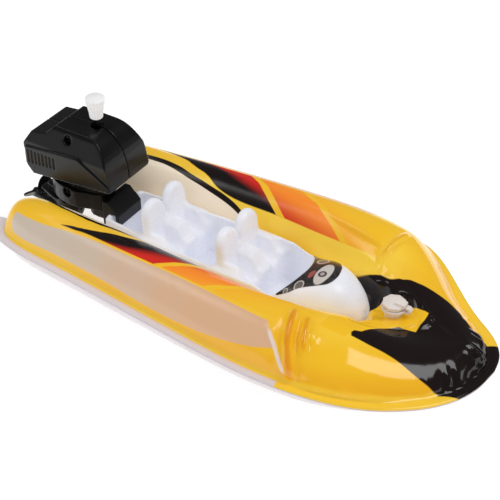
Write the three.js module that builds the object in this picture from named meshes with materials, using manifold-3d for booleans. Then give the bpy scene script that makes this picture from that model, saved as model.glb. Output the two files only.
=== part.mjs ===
// Inflatable toy speedboat with a clip-on clockwork outboard motor.
// Millimetres, +X to the bow, +Y to port, +Z up. The origin is the middle of the hull's flat
// underside, so z = 0 is the table it rests on.

import * as THREE from "three";
import { ParametricGeometry } from "three/addons/geometries/ParametricGeometry.js";
import { mergeVertices } from "three/addons/utils/BufferGeometryUtils.js";
import Module from "manifold-3d";

const wasm = await Module();
wasm.setup();

// ---------------------------------------------------------------- driving dimensions

// Hull
const HALF_LENGTH = 107.5;
const FILM = 0.5;
const SEAM_GAP = 0.15;
const CHAMBER_BOW_X = 103.5;
const OPENING_FRONT_X = 56;
const FLOOR_AFT_X = -65;
const TUCK = 4;
const CENTRE_OVERLAP = 0.05;

// Cockpit tub
const TUB_AFT_X = -62.5;
const TUB_TIP_X = 54.8;
const TUB_FLOOR_Z = 1;
const TUB_EDGE_Z = 24;
const TUB_WALL = 1.5;
const TRANSOM_TOP_Z = 22;
const LIP_MIDDLE_X = 27.5;
const LIP_SIDE_X = 21;
const SEAT_ROWS_X = [-41.7, -6.1];
const SEAT_OFFSET_Y = 7.2;
const SEAT_TOP_Z = 37.4;
const SEAT_WIDTH = 12.4;

// Valve
const VALVE_X = 65.2;
const VALVE_BORE = 2.4;
const VALVE_STEM_RADIUS = 3.5;
const VALVE_FOOT_Z = 17.8;
const VALVE_RIM_Z = 25.6;
const VALVE_CAP_RADIUS = 4.7;

// Outboard: steering pivot, leg and cowl
const PIVOT_X = -74;
const PIVOT_PIN_RADIUS = 1.2;
const PIVOT_BORE = 1.6;
const CLAMP_HALF_WIDTH = 8;
const CLAMP_EAR_Z = [15.4, 19.4];
const CLAMP_EAR_RADIUS = 4.5;
const UPPER_SCREW_AT = [-84.5, 25.8];
const LOWER_SCREW_AT = [-90.5, 17];
const COWL_HALF_WIDTH = 14;
const COWL_SIDE_HALF_WIDTH = 13.2;
const COWL_TOP_HALF_WIDTH = 10;
const COWL_TOP_Z = 58.4;
const COWL_SILL_Z = 37.4;
const COWL_BELT_Z = 48.4;
const COWL_FRONT_X = -57.6;
const COWL_CROWN_X = -70;
const COWL_ARC_STEPS = 12;
const COWL_WALL = 1.4;
const SPLIT_GAP = 0.15;
const COWL_SCREW_AT = [-79.6, 54.4];
const TRAY_Z = [20, 28];
const PROP_AXIS_Z = 11;
const PROP_X = -109;
const PROP_RADIUS = 9;

// Clockwork
const KEY_X = -72.5;
const KEY_FOOT_Z = 62.3;
const KEY_TOP_Z = 71.6;
const KEY_RADIUS = 4.2;
const ARBOR_RADIUS = 1.45;
const ARBOR_BORE = 1.8;
const SHAFT_RADIUS = 0.8;
const SHAFT_BORE = 1.1;
const WHEEL_PIN_RADIUS = 0.6;
const WHEEL_BORE = 0.9;
const DRIVE_X = -94;
const GEAR_MODULE = 0.5;
const GREAT_TEETH = 36;
const SECOND_TEETH = 30;
const THIRD_TEETH = 20;
const PINION_TEETH = 10;
const CROWN_TEETH = 12;
const SECOND_AT = [-83.6, 3];
const THIRD_AT = meetingPoint(SECOND_AT, gearDistance(SECOND_TEETH, PINION_TEETH),
  [DRIVE_X, 0], gearDistance(THIRD_TEETH, PINION_TEETH));
const LOWER_PLATE_Z = [38.4, 39.8];
const GREAT_Z = [40.6, 41.8];
const SECOND_Z = [42.6, 43.8];
const THIRD_Z = [44.6, 45.8];
const SPRING_Z = [46.6, 50];
const UPPER_PLATE_Z = [50.4, 51.6];
const PILLARS_AT = [[-64.6, 7.6], [-64.6, -7.6], [-92.5, 6.8]];
const PIN_GAP = 0.3;

// Far enough for a cutting tool to pass right through the boat.
const THROUGH = 200;

// ---------------------------------------------------------------- materials

function plastic(red, green, blue, roughness) {
  const color = new THREE.Color().setRGB(red, green, blue, THREE.SRGBColorSpace);
  return new THREE.MeshStandardMaterial({ color, roughness, metalness: 0 });
}

function metal(red, green, blue) {
  const color = new THREE.Color().setRGB(red, green, blue, THREE.SRGBColorSpace);
  return new THREE.MeshStandardMaterial({ color, roughness: 0.3, metalness: 1 });
}

const yellowFilm = plastic(0.93, 0.7, 0.14, 0.25);
const clearFilm = plastic(0.96, 0.96, 0.94, 0.2);
const whitePlastic = plastic(0.9, 0.91, 0.94, 0.3);
const blackPlastic = plastic(0.08, 0.08, 0.08, 0.35);
const stickerInk = plastic(0.2, 0.18, 0.18, 0.4);
const softVinyl = plastic(0.88, 0.84, 0.82, 0.35);
const naturalNylon = plastic(0.93, 0.92, 0.86, 0.4);
const steel = metal(0.75, 0.76, 0.78);
const springSteel = metal(0.35, 0.4, 0.5);
const brass = metal(0.8, 0.65, 0.35);

// ---------------------------------------------------------------- small helpers

// A smooth curve through [x, value] points, as a function of x.
function through(points) {
  const slope = (i) => {
    const a = points[Math.max(i - 1, 0)];
    const b = points[Math.min(i + 1, points.length - 1)];
    return (b[1] - a[1]) / (b[0] - a[0]);
  };
  return (x) => {
    let i = 0;
    while (i < points.length - 2 && x > points[i + 1][0]) i += 1;
    const [x0, v0] = points[i];
    const [x1, v1] = points[i + 1];
    const t = THREE.MathUtils.clamp((x - x0) / (x1 - x0), 0, 1);
    const start = slope(i) * (x1 - x0);
    const end = slope(i + 1) * (x1 - x0);
    const t2 = t * t;
    const t3 = t2 * t;
    return v0 * (2 * t3 - 3 * t2 + 1) + start * (t3 - 2 * t2 + t)
      + v1 * (3 * t2 - 2 * t3) + end * (t3 - t2);
  };
}

// Evenly spaced values from a to b, both included.
function spread(a, b, count) {
  return Array.from({ length: count }, (_, i) => a + (b - a) * i / (count - 1));
}

function gearDistance(teethA, teethB) {
  return GEAR_MODULE * (teethA + teethB) / 2;
}

// The point at distance ra from a and rb from b, on the starboard side.
function meetingPoint(a, ra, b, rb) {
  const d = Math.hypot(b[0] - a[0], b[1] - a[1]);
  const along = (ra * ra - rb * rb + d * d) / (2 * d);
  const off = Math.sqrt(ra * ra - along * along);
  const ux = (b[0] - a[0]) / d;
  const uy = (b[1] - a[1]) / d;
  return [a[0] + along * ux - off * uy, a[1] + along * uy + off * ux];
}

function withoutSlivers(geometry) {
  const index = geometry.index.array;
  const kept = [];
  for (let i = 0; i < index.length; i += 3) {
    const [a, b, c] = index.slice(i, i + 3);
    if (a !== b && b !== c && c !== a) kept.push(a, b, c);
  }
  geometry.setIndex(kept);
  return geometry;
}

function flipped(triangles) {
  const turned = new Uint32Array(triangles);
  for (let i = 0; i < turned.length; i += 3) {
    turned[i] = triangles[i + 1];
    turned[i + 1] = triangles[i];
  }
  return turned;
}

// A three.js geometry as a manifold solid, with its faces pointing outwards.
function solid(geometry) {
  const bare = geometry.index ? geometry.toNonIndexed() : geometry.clone();
  bare.deleteAttribute("normal");
  bare.deleteAttribute("uv");
  const merged = withoutSlivers(mergeVertices(bare, 1e-4));
  const vertProperties = new Float32Array(merged.attributes.position.array);
  const triVerts = new Uint32Array(merged.index.array);
  const made = new wasm.Manifold(new wasm.Mesh({ numProp: 3, vertProperties, triVerts }));
  if (made.volume() > 0) return made;
  const outward = flipped(triVerts);
  return new wasm.Manifold(new wasm.Mesh({ numProp: 3, vertProperties, triVerts: outward }));
}

function join(...solids) {
  return solids.reduce((all, next) => all.add(next));
}

function cut(body, ...tools) {
  return tools.reduce((left, tool) => left.subtract(tool), body);
}

function meshOf(name, body, material) {
  const { vertProperties, triVerts } = body.getMesh();
  const geometry = new THREE.BufferGeometry();
  geometry.setAttribute("position", new THREE.Float32BufferAttribute(vertProperties, 3));
  geometry.setIndex(new THREE.Uint32BufferAttribute(triVerts, 1));
  geometry.computeVertexNormals();
  const mesh = new THREE.Mesh(geometry, material);
  mesh.name = name;
  return mesh;
}

function block(x0, x1, y0, y1, z0, z1) {
  const box = new THREE.BoxGeometry(x1 - x0, y1 - y0, z1 - z0);
  box.translate((x0 + x1) / 2, (y0 + y1) / 2, (z0 + z1) / 2);
  return solid(box);
}

function upright(x, y, radius, z0, z1, sides = 16) {
  const post = new THREE.CylinderGeometry(radius, radius, z1 - z0, sides);
  post.rotateX(Math.PI / 2);
  post.translate(x, y, (z0 + z1) / 2);
  return solid(post);
}

function lengthwise(x0, x1, radius, z, sides = 16) {
  const rod = new THREE.CylinderGeometry(radius, radius, x1 - x0, sides);
  rod.rotateZ(Math.PI / 2);
  rod.translate((x0 + x1) / 2, 0, z);
  return solid(rod);
}

function crosswise(x, z, radius, y0, y1, sides = 16) {
  const rod = new THREE.CylinderGeometry(radius, radius, y1 - y0, sides);
  rod.translate(x, (y0 + y1) / 2, z);
  return solid(rod);
}

function outline(points) {
  return new THREE.Shape(points.map(([a, b]) => new THREE.Vector2(a, b)));
}

function extruded(shape, depth) {
  return new THREE.ExtrudeGeometry(shape, { depth, bevelEnabled: false, curveSegments: 8 });
}

// A plan outline (x, y) raised from z0 to z1.
function slab(shape, z0, z1) {
  const body = extruded(shape, z1 - z0);
  body.translate(0, 0, z0);
  return solid(body);
}

// A side outline (x, z) spread from y0 to y1.
function sidePlate(shape, y0, y1) {
  const body = extruded(shape, y1 - y0);
  body.rotateX(Math.PI / 2);
  body.translate(0, y1, 0);
  return solid(body);
}

// A front outline (y, z) spread from x0 to x1.
function frontPlate(shape, x0, x1) {
  const body = extruded(shape, x1 - x0);
  const turn = new THREE.Matrix4().makeBasis(new THREE.Vector3(0, 1, 0),
    new THREE.Vector3(0, 0, 1), new THREE.Vector3(1, 0, 0));
  body.applyMatrix4(turn);
  body.translate(x0, 0, 0);
  return solid(body);
}

// A solid through closed rings of points; each end is closed onto its ring's middle.
function loft(rings) {
  const middle = (ring) => {
    const sum = ring.reduce((total, point) => total.clone().add(point), new THREE.Vector3());
    return sum.divideScalar(ring.length);
  };
  const capped = [
    rings[0].map(() => middle(rings[0])),
    ...rings,
    rings[rings.length - 1].map(() => middle(rings[rings.length - 1])),
  ];
  const around = rings[0].length;
  const surface = (u, v, target) => {
    const ring = capped[Math.round(u * (capped.length - 1))];
    target.copy(ring[Math.round(v * around) % around]);
  };
  return solid(new ParametricGeometry(surface, capped.length - 1, around));
}

// ---------------------------------------------------------------- hull films

const seamHeight = through([
  [-107.5, 15], [-60, 17], [0, 16.5], [50, 15.5], [80, 14.4], [95, 13.4], [107.5, 12.8]]);
const crownHeight = through([
  [-107.5, 15.6], [-104, 25], [-97, 30.5], [-85, 33.5], [-60, 34.5], [0, 34.6], [40, 34],
  [60, 32.5], [75, 30], [90, 25.5], [99, 19.5], [103.5, 13.5], [107.5, 13.3]]);
const bottomHeight = through([
  [-107.5, 16], [-104, 6], [-98, 1.4], [-90, 0], [-60, 0], [60, 0], [80, 0.8], [95, 5],
  [103.5, 13], [107.5, 13]]);
const flangeHalfWidth = through([
  [-107.5, 26], [-104, 35.5], [-97, 40], [-84, 42.6], [-60, 45.6], [-15, 50.6], [25, 54],
  [50, 53.4], [75, 45.6], [92, 33.6], [102, 19], [107.5, 0]]);
const chamberHalfWidth = through([
  [-107.5, 26], [-104, 32.5], [-97, 37], [-84, 39.4], [-60, 42.2], [-15, 47], [25, 50.4],
  [50, 49.6], [75, 41.4], [92, 28.4], [99, 18], [103.5, 0]]);
const wallHalfWidth = through([
  [-107.5, 26], [-104, 19.5], [-97, 15.8], [-84, 14.2], [-60, 14.8], [-15, 17.2], [15, 17.6],
  [30, 16.8], [40, 14.6], [48, 10.6], [53, 6.4], [56, 0]]);
const valleyHeight = through([
  [56, 1.3], [57.2, 10], [58.6, 17], [61, 20.3], [65, 21.3], [72, 22.3], [80, 22.8],
  [90, 21.6], [99, 17], [103.5, 13.5], [107.5, 13.3]]);

const HULL_STATIONS = [
  -HALF_LENGTH, -106.6, -104, -100, -94, -85, FLOOR_AFT_X, FLOOR_AFT_X + 0.5, -45, -20, 3, 23,
  38, 47, 53, OPENING_FRONT_X, 57.2, 58.6, 61.5, 67, 75, 83, 91, 97, 101, CHAMBER_BOW_X,
  HALF_LENGTH];
const QUARTER_STEPS = 4;
const TUCK_STEPS = 3;

function quarter(steps) {
  return spread(0, Math.PI / 2, steps + 1).slice(1);
}

function hullWidths(x) {
  const out = x >= CHAMBER_BOW_X ? 0 : chamberHalfWidth(x);
  const wall = x >= OPENING_FRONT_X ? -CENTRE_OVERLAP : wallHalfWidth(x);
  return { edge: flangeHalfWidth(x), out, wall, crown: Math.max((out + wall) / 2, 0) };
}

// The outside line of the upper film at one station, from the flange's edge to the inner weld
// beside the tub, or to the centreline on the foredeck.
function upperLine(x) {
  const { edge, out, wall, crown } = hullWidths(x);
  const seam = seamHeight(x) + SEAM_GAP + FILM;
  const top = Math.max(crownHeight(x), seam);
  const line = [[edge, seam], [out, seam]];
  for (const a of quarter(QUARTER_STEPS)) {
    line.push([crown + (out - crown) * Math.cos(a), seam + (top - seam) * Math.sin(a)]);
  }
  if (x < OPENING_FRONT_X) {
    const weld = bottomHeight(x) + 2 * FILM;
    const tuck = Math.min(TUCK, (out - wall) / 4, wall);
    for (const a of quarter(QUARTER_STEPS)) {
      line.push([crown - (crown - wall) * Math.sin(a), seam + (top - seam) * Math.cos(a)]);
    }
    for (const a of quarter(TUCK_STEPS)) {
      line.push([wall + tuck * (1 - Math.cos(a)), seam - (seam - weld) * Math.sin(a)]);
    }
    return line;
  }
  const valley = x < CHAMBER_BOW_X ? valleyHeight(x) : Math.max(valleyHeight(x), seam);
  const steps = QUARTER_STEPS + TUCK_STEPS;
  for (const u of spread(0, 1, steps + 1).slice(1)) {
    const height = valley + (top - valley) * (0.5 + 0.5 * Math.cos(Math.PI * u));
    line.push([crown * (1 - u) - CENTRE_OVERLAP * u, height]);
  }
  return line;
}

// The outside line of the lower film, from the flange's edge round the bottom and, between the
// tubes, along the flat floor to the centreline.
function lowerLine(x) {
  const { edge, out, wall, crown } = hullWidths(x);
  const seam = seamHeight(x) - SEAM_GAP - FILM;
  const bottom = Math.min(bottomHeight(x), seam);
  const line = [[edge, seam], [out, seam]];
  for (const a of quarter(QUARTER_STEPS)) {
    line.push([crown + (out - crown) * Math.cos(a), seam - (seam - bottom) * Math.sin(a)]);
  }
  const tuck = Math.min(TUCK, (out - wall) / 4);
  const inner = x > FLOOR_AFT_X ? -CENTRE_OVERLAP : wall + tuck;
  line.push([(crown + inner) / 2, bottom]);
  line.push([inner, bottom]);
  return line;
}

// The same line moved by the film's thickness towards the air chamber.
function filmInside(line, side) {
  return line.map(([y, z], i) => {
    const [y0, z0] = line[Math.max(i - 1, 0)];
    const [y1, z1] = line[Math.min(i + 1, line.length - 1)];
    const length = Math.hypot(y1 - y0, z1 - z0);
    if (length < 1e-6) return [y, z - side * FILM];
    return [y - side * FILM * (z1 - z0) / length, z + side * FILM * (y1 - y0) / length];
  });
}

function filmHalf(lineAt, side) {
  const rings = HULL_STATIONS.map((x) => {
    const outside = lineAt(x);
    const inside = filmInside(outside, side).reverse();
    return [...outside, ...inside].map(([y, z]) => new THREE.Vector3(x, y, z));
  });
  return loft(rings);
}

function bothSides(half) {
  return half.add(half.mirror([0, 1, 0]));
}

function hullUpperSkin() {
  const hole = upright(VALVE_X, 0, VALVE_STEM_RADIUS + 0.4, bottomHeight(VALVE_X) + 10, THROUGH);
  return cut(bothSides(filmHalf(upperLine, 1)), hole);
}

function hullLowerSkin() {
  return bothSides(filmHalf(lowerLine, -1));
}

// ---------------------------------------------------------------- valve

function ringOf(x, outer, inner, z0, z1, sides = 16) {
  return cut(upright(x, 0, outer, z0, z1, sides), upright(x, 0, inner, z0 - 1, z1 + 1, sides));
}

function valveStem() {
  const foot = upright(VALVE_X, 0, 4.8, VALVE_FOOT_Z, VALVE_FOOT_Z + 0.8);
  const tube = upright(VALVE_X, 0, VALVE_STEM_RADIUS, VALVE_FOOT_Z, VALVE_RIM_Z);
  const lip = upright(VALVE_X, 0, VALVE_STEM_RADIUS + 0.3, VALVE_RIM_Z - 1, VALVE_RIM_Z);
  const bore = upright(VALVE_X, 0, VALVE_BORE, VALVE_FOOT_Z - 1, VALVE_RIM_Z + 1);
  return cut(join(foot, tube, lip), bore);
}

function valvePlug() {
  const cap = upright(VALVE_X, 0, VALVE_CAP_RADIUS, VALVE_RIM_Z + 0.3, VALVE_RIM_Z + 1.7, 8);
  const stopper = upright(VALVE_X, 0, VALVE_BORE - 0.3, VALVE_RIM_Z - 4, VALVE_RIM_Z + 1);
  const lug = block(VALVE_X + 0.8, VALVE_X + 4.9, -1.6, 1.6, VALVE_RIM_Z + 1, VALVE_RIM_Z + 2.8);
  return join(cap, stopper, lug);
}

// A ring round the stem's lip, with a strap that loops up beside the plug.
function valveTether() {
  const ringZ = VALVE_RIM_Z - 1.2;
  const ring = ringOf(VALVE_X, 5, VALVE_STEM_RADIUS + 0.6, ringZ, VALVE_RIM_Z);
  const strap = outline([
    [4.4, 0], [6.2, 0], [7.4, 1], [7.4, 2], [6.6, 2.9], [5.1, 2.9], [5.1, 2], [6.1, 2], [6.4, 1.6],
    [6.4, 1.3], [5.9, 1], [4.4, 1]].map(([out, up]) => [VALVE_X + out, ringZ + up]));
  return join(ring, sidePlate(strap, -1.2, 1.2));
}

function valveFlap() {
  return upright(VALVE_X, 0, VALVE_STEM_RADIUS + 0.9, VALVE_FOOT_Z - 0.9, VALVE_FOOT_Z - 0.3);
}

// ---------------------------------------------------------------- cockpit tub

const tubHalfWidth = through([
  [-62.5, 12.4], [-45, 13.6], [-15, 15.7], [15, 16.2], [30, 15.3], [40, 13], [48, 9], [53, 4.6],
  [54.8, 0.6]]);
const tubTop = through([
  [-62.5, 24], [12, 24], [20, 24.6], [28, 27], [36, 29.4], [43, 28.4], [49, 24.6], [53, 19.4],
  [54.8, 14]]);
const TUB_STATIONS = [TUB_AFT_X, -45, -25, -5, 12, 18, 24, 30, 36, 42, 47, 50.5, 53, 54.3, TUB_TIP_X];
const CORNER_STEPS = 4;

// Half of the tub's section at one station, from the keel to the top, shrunk by a wall.
function tubHalfSection(x, shrink) {
  const wide = tubHalfWidth(x) - Math.min(shrink, 0.9 * tubHalfWidth(x));
  const top = tubTop(x) - shrink;
  const floor = TUB_FLOOR_Z + shrink;
  const keel = Math.max(wide - 3, wide * 0.6);
  const shoulder = x < 12 ? top - 0.6 : THREE.MathUtils.lerp(top - 0.6, 14, Math.min((x - 12) / 14, 1));
  const half = [[keel * 0.5, floor], [keel, floor], [wide, floor + 6], [wide, shoulder]];
  for (const a of quarter(CORNER_STEPS)) {
    const y = wide * Math.cos(a) ** 0.8;
    half.push([Math.max(y, 0), shoulder + (top - shoulder) * Math.sin(a) ** 0.8]);
  }
  return half;
}

function tubLoft(shrink, inset) {
  const rings = TUB_STATIONS.map((station) => {
    const x = THREE.MathUtils.clamp(station, TUB_AFT_X + inset, TUB_TIP_X - inset);
    const half = tubHalfSection(x, shrink);
    const other = half.slice(0, -1).reverse().map(([y, z]) => [-y, z]);
    return [...half, ...other].map(([y, z]) => new THREE.Vector3(x, y, z));
  });
  return loft(rings);
}

function cockpitOpening() {
  const side = [-60.5, -45, -25, -5, 8].map((x) => [x, tubHalfWidth(x) - TUB_WALL]);
  const shape = new THREE.Shape();
  shape.moveTo(side[0][0], -side[0][1]);
  for (const [x, y] of side.slice(1)) shape.lineTo(x, -y);
  shape.lineTo(LIP_SIDE_X, -14.4);
  shape.quadraticCurveTo(2 * LIP_MIDDLE_X - LIP_SIDE_X, 0, LIP_SIDE_X, 14.4);
  for (const [x, y] of side.slice(1).reverse()) shape.lineTo(x, y);
  shape.lineTo(side[0][0], side[0][1]);
  return slab(shape, TUB_FLOOR_Z + 4, SEAT_TOP_Z + 1);
}

// One bucket seat: a reclined back with a round top, a cushion and two side bolsters.
function bucketSeat(backX, y) {
  const half = SEAT_WIDTH / 2;
  const back = new THREE.Shape();
  back.moveTo(-half, 0);
  back.lineTo(half, 0);
  back.lineTo(half, 22);
  back.quadraticCurveTo(half, 33, 0, 33);
  back.quadraticCurveTo(-half, 33, -half, 22);
  back.closePath();
  const lean = 5;
  const side = outline([
    [backX - 1.8, SEAT_TOP_Z - 33], [backX + 3.4 + lean, SEAT_TOP_Z - 33], [backX + 1.8, SEAT_TOP_Z],
    [backX - 1.8, SEAT_TOP_Z]]);
  const backrest = frontPlate(back, backX - 1.8, backX + 3.4 + lean)
    .translate([0, y, SEAT_TOP_Z - 33])
    .intersect(sidePlate(side, y - half, y + half));
  const cushion = block(backX + 1, backX + 19, y - half, y + half, TUB_FLOOR_Z + 1, 13.5);
  const bolster = outline([
    [backX + 1, 12], [backX + 18.6, 12], [backX + 17.4, 17.4], [backX + 10, 18.6],
    [backX + 6, 25.5], [backX + 1, 26.5]]);
  const port = sidePlate(bolster, y + half - 2.2, y + half);
  const starboard = sidePlate(bolster, y - half, y - half + 2.2);
  return join(backrest, cushion, port, starboard);
}

function cockpitTub() {
  const shell = cut(tubLoft(0, 0), tubLoft(TUB_WALL, TUB_WALL), cockpitOpening());
  const seats = SEAT_ROWS_X.flatMap((x) => [bucketSeat(x, SEAT_OFFSET_Y), bucketSeat(x, -SEAT_OFFSET_Y)]);
  const lowered = block(TUB_AFT_X - 1, TUB_AFT_X + 3, -9, 9, TRANSOM_TOP_Z, TUB_EDGE_Z + 2);
  return cut(join(shell, ...seats), lowered);
}

// The dashboard sticker: a crescent of thin film that follows the top of the nose.
function dashDecal() {
  const shape = new THREE.Shape();
  shape.moveTo(20, -13.4);
  shape.quadraticCurveTo(31.4, 0, 20, 13.4);
  shape.quadraticCurveTo(32, 12, 37.5, 0);
  shape.quadraticCurveTo(32, -12, 20, -13.4);
  const film = tubLoft(-0.6, 0).subtract(tubLoft(-0.3, 0));
  return film.intersect(slab(shape, 18, 40));
}

// ---------------------------------------------------------------- transom clamp and steering

function transomClamp() {
  const saddle = outline([
    [-66.6, 14], [-62.9, 14], [-62.9, TRANSOM_TOP_Z + 0.4], [-60.2, TRANSOM_TOP_Z + 0.4],
    [-60.2, 17], [-58.6, 17], [-58.6, 22.4], [-64, 27.7], [-66.6, 27.7]]);
  const [z0, z1] = CLAMP_EAR_Z;
  const round = upright(PIVOT_X, 0, CLAMP_EAR_RADIUS, z0, z1);
  const ear = join(block(PIVOT_X - 1, -66, -CLAMP_EAR_RADIUS, CLAMP_EAR_RADIUS, z0, z1), round);
  const hole = upright(PIVOT_X, 0, PIVOT_BORE, z0 - 5, z1 + 5);
  return cut(join(sidePlate(saddle, -CLAMP_HALF_WIDTH, CLAMP_HALF_WIDTH), ear), hole);
}

function steeringPin() {
  const pin = upright(PIVOT_X, 0, PIVOT_PIN_RADIUS, CLAMP_EAR_Z[0] - 1.8, 30);
  const head = upright(PIVOT_X, 0, 2.6, CLAMP_EAR_Z[0] - 2, CLAMP_EAR_Z[0] - 0.4);
  return join(pin, head);
}

// ---------------------------------------------------------------- leg

function trayShape() {
  const shape = new THREE.Shape();
  shape.moveTo(PIVOT_X, -7);
  shape.absarc(PIVOT_X, 0, 7, -Math.PI / 2, Math.PI / 2);
  shape.lineTo(-80, 9);
  shape.quadraticCurveTo(-95, 9.4, -99, 0);
  shape.quadraticCurveTo(-95, -9.4, -80, -9);
  shape.closePath();
  return shape;
}

function foil(front, back, half) {
  const shape = new THREE.Shape();
  shape.moveTo(front, 0);
  shape.quadraticCurveTo(front, half, (front + back) / 2, half);
  shape.lineTo(back, half * 0.5);
  shape.lineTo(back, -half * 0.5);
  shape.lineTo((front + back) / 2, -half);
  shape.quadraticCurveTo(front, -half, front, 0);
  return shape;
}

function torpedo() {
  const profile = [
    [0, -19.5], [2.6, -19], [4.2, -17], [5, -14], [5, -3], [4.4, -0.6], [3.6, 0], [0, 0]];
  const body = new THREE.LatheGeometry(profile.map(([r, t]) => new THREE.Vector2(r, t)), 16);
  body.rotateZ(Math.PI / 2);
  body.translate(-104.5, 0, PROP_AXIS_Z);
  return solid(body);
}

function legOutside() {
  const tray = slab(trayShape(), TRAY_Z[0], TRAY_Z[1]);
  const neck = slab(foil(-67, -98, 6.4), TRAY_Z[1] - 1, LOWER_PLATE_Z[0] - 0.4);
  const leg = slab(foil(-86.5, -101, 4.6), PROP_AXIS_Z, TRAY_Z[0] + 1);
  const plate = slab(foil(-85, -104, 7), 17.6, 18.6);
  const skeg = sidePlate(outline([[-90, 8], [-101.5, 8], [-100.5, 3], [-97, 2.6]]), -1, 1);
  return join(tray, neck, leg, plate, skeg, torpedo());
}

function legHollows() {
  const shaftWay = upright(DRIVE_X, 0, SHAFT_BORE + 0.2, PROP_AXIS_Z, LOWER_PLATE_Z[0] + 2);
  const gearRoom = lengthwise(-99.6, -89.6, 4, PROP_AXIS_Z);
  const pinionRoom = upright(DRIVE_X, 0, 3.8, PROP_AXIS_Z, PROP_AXIS_Z + 4);
  const bore = lengthwise(-106, -88, 1.2, PROP_AXIS_Z);
  const bushSeat = lengthwise(-105, -102.2, 2.6, PROP_AXIS_Z);
  const pivotWay = upright(PIVOT_X, 0, PIVOT_BORE, TRAY_Z[0] - 2, 31);
  const trayRoom = slab(foil(-80.5, -88.5, 4.6), TRAY_Z[0] + 1.6, 36);
  const upperScrew = crosswise(...UPPER_SCREW_AT, 1.3, -THROUGH, 7);
  const upperHead = crosswise(...UPPER_SCREW_AT, 2.3, -THROUGH, -6.2);
  const lowerScrew = crosswise(...LOWER_SCREW_AT, 0.9, -THROUGH, 3);
  const lowerHead = crosswise(...LOWER_SCREW_AT, 1.7, -THROUGH, -2.6);
  return [shaftWay, gearRoom, pinionRoom, bore, bushSeat, pivotWay, trayRoom, upperScrew,
    upperHead, lowerScrew, lowerHead];
}

function halves(body) {
  const port = body.intersect(block(-THROUGH, THROUGH, SPLIT_GAP, THROUGH, -THROUGH, THROUGH));
  const starboard = body.intersect(block(-THROUGH, THROUGH, -THROUGH, -SPLIT_GAP, -THROUGH, THROUGH));
  return { port, starboard };
}

// A cross-head screw that lies across the boat, with its head to starboard.
function screw([x, z], headRadius, shankRadius, headY, tipY) {
  const head = crosswise(x, z, headRadius, headY, headY + 1.4, 12);
  const shank = crosswise(x, z, shankRadius, headY + 1, tipY, 8);
  const slot = block(x - headRadius, x + headRadius, headY - 1, headY + 0.6, z - 0.3, z + 0.3);
  const cross = block(x - 0.3, x + 0.3, headY - 1, headY + 0.6, z - headRadius, z + headRadius);
  return cut(join(head, shank), slot, cross);
}

// ---------------------------------------------------------------- cowl

// The cowl's side outline (x, z), with its walls moved inwards by a thickness t. Its front is a
// quarter of an ellipse from the sill up to the crown.
function cowlSide(t) {
  const reach = COWL_FRONT_X - COWL_CROWN_X - t;
  const rise = COWL_TOP_Z - COWL_SILL_Z - t;
  const crown = quarter(COWL_ARC_STEPS).map((a) => [
    COWL_CROWN_X + reach * Math.cos(a), COWL_SILL_Z + rise * Math.sin(a)]);
  return outline([
    [COWL_FRONT_X - t, COWL_SILL_Z - 9 * t], ...crown,
    [-86.6 + t / 4, COWL_TOP_Z - t], [-90.8 + t, 54.2 - t], [-98.4 + t, 53 - t], [-101.8 + t, 47.4],
    [-101.4 + t, COWL_SILL_Z], [-98 + t, 33.2 - 9 * t]]);
}

// The cowl's front outline (y, z): upright below the belt and leaning in above it.
function cowlFront(t) {
  const low = COWL_SIDE_HALF_WIDTH - t;
  const high = COWL_TOP_HALF_WIDTH - t;
  return outline([
    [-low, 20], [low, 20], [low, COWL_BELT_Z], [high, COWL_TOP_Z - 1.5], [high - 1.5, COWL_TOP_Z + 1],
    [1.5 - high, COWL_TOP_Z + 1], [-high, COWL_TOP_Z - 1.5], [-low, COWL_BELT_Z]]);
}

function cowlBody(t) {
  const width = 2 * COWL_HALF_WIDTH;
  return sidePlate(cowlSide(t), -width, width).intersect(frontPlate(cowlFront(t), -120, -40));
}

// The raised lower panel on one side of the cowl, with its row of vent slots.
function beltPanel() {
  const panel = sidePlate(outline([
    [-57.8, 38], [-58, 40.6], [-72.9, 49], [-84, 48.2], [-100.6, 46.4], [-100.4, 37.2], [-97.4, 33.8]]),
    -COWL_HALF_WIDTH, -COWL_SIDE_HALF_WIDTH + 0.4);
  const slots = spread(-99, -85.6, 8).map((x) => {
    const foot = 38.8 + 0.08 * (x + 99);
    return block(x - 0.45, x + 0.45, -THROUGH, -COWL_SIDE_HALF_WIDTH - 0.1, foot, 45.4);
  });
  return cut(panel, ...slots);
}

function cowl() {
  const starboardPanel = beltPanel();
  const portPanel = starboardPanel.mirror([0, 1, 0]);
  const shell = cut(join(cowlBody(0), starboardPanel, portPanel), cowlBody(COWL_WALL));
  const keyHole = upright(KEY_X, 0, 2.6, UPPER_PLATE_Z[0], KEY_TOP_Z);
  const [x, z] = COWL_SCREW_AT;
  const boss = crosswise(x, z, 2.2, -11, 11).intersect(cowlBody(0.5));
  const screwWay = crosswise(x, z, 1.1, -THROUGH, 8.5);
  const headWay = crosswise(x, z, 1.9, -THROUGH, -8);
  return cut(join(shell, boss), keyHole, screwWay, headWay);
}

// ---------------------------------------------------------------- clockwork

// A toothed outline; a tooth is centred on the given direction.
function gearOutline(teeth, firstTooth) {
  const pitch = GEAR_MODULE * teeth / 2;
  const tip = pitch + 0.4;
  const root = pitch - 0.62;
  const step = 2 * Math.PI / teeth;
  const rootHalf = 0.42 / root;
  const tipHalf = 0.16 / tip;
  const points = [];
  for (let i = 0; i < teeth; i += 1) {
    const middle = firstTooth + i * step;
    points.push([root, middle - rootHalf], [tip, middle - tipHalf], [tip, middle + tipHalf],
      [root, middle + rootHalf]);
  }
  return outline(points.map(([r, a]) => [r * Math.cos(a), r * Math.sin(a)]));
}

function gear(at, teeth, firstTooth, z0, z1) {
  return slab(gearOutline(teeth, firstTooth), z0, z1).translate([at[0], at[1], 0]);
}

function directionOf(from, to) {
  return Math.atan2(to[1] - from[1], to[0] - from[0]);
}

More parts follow.
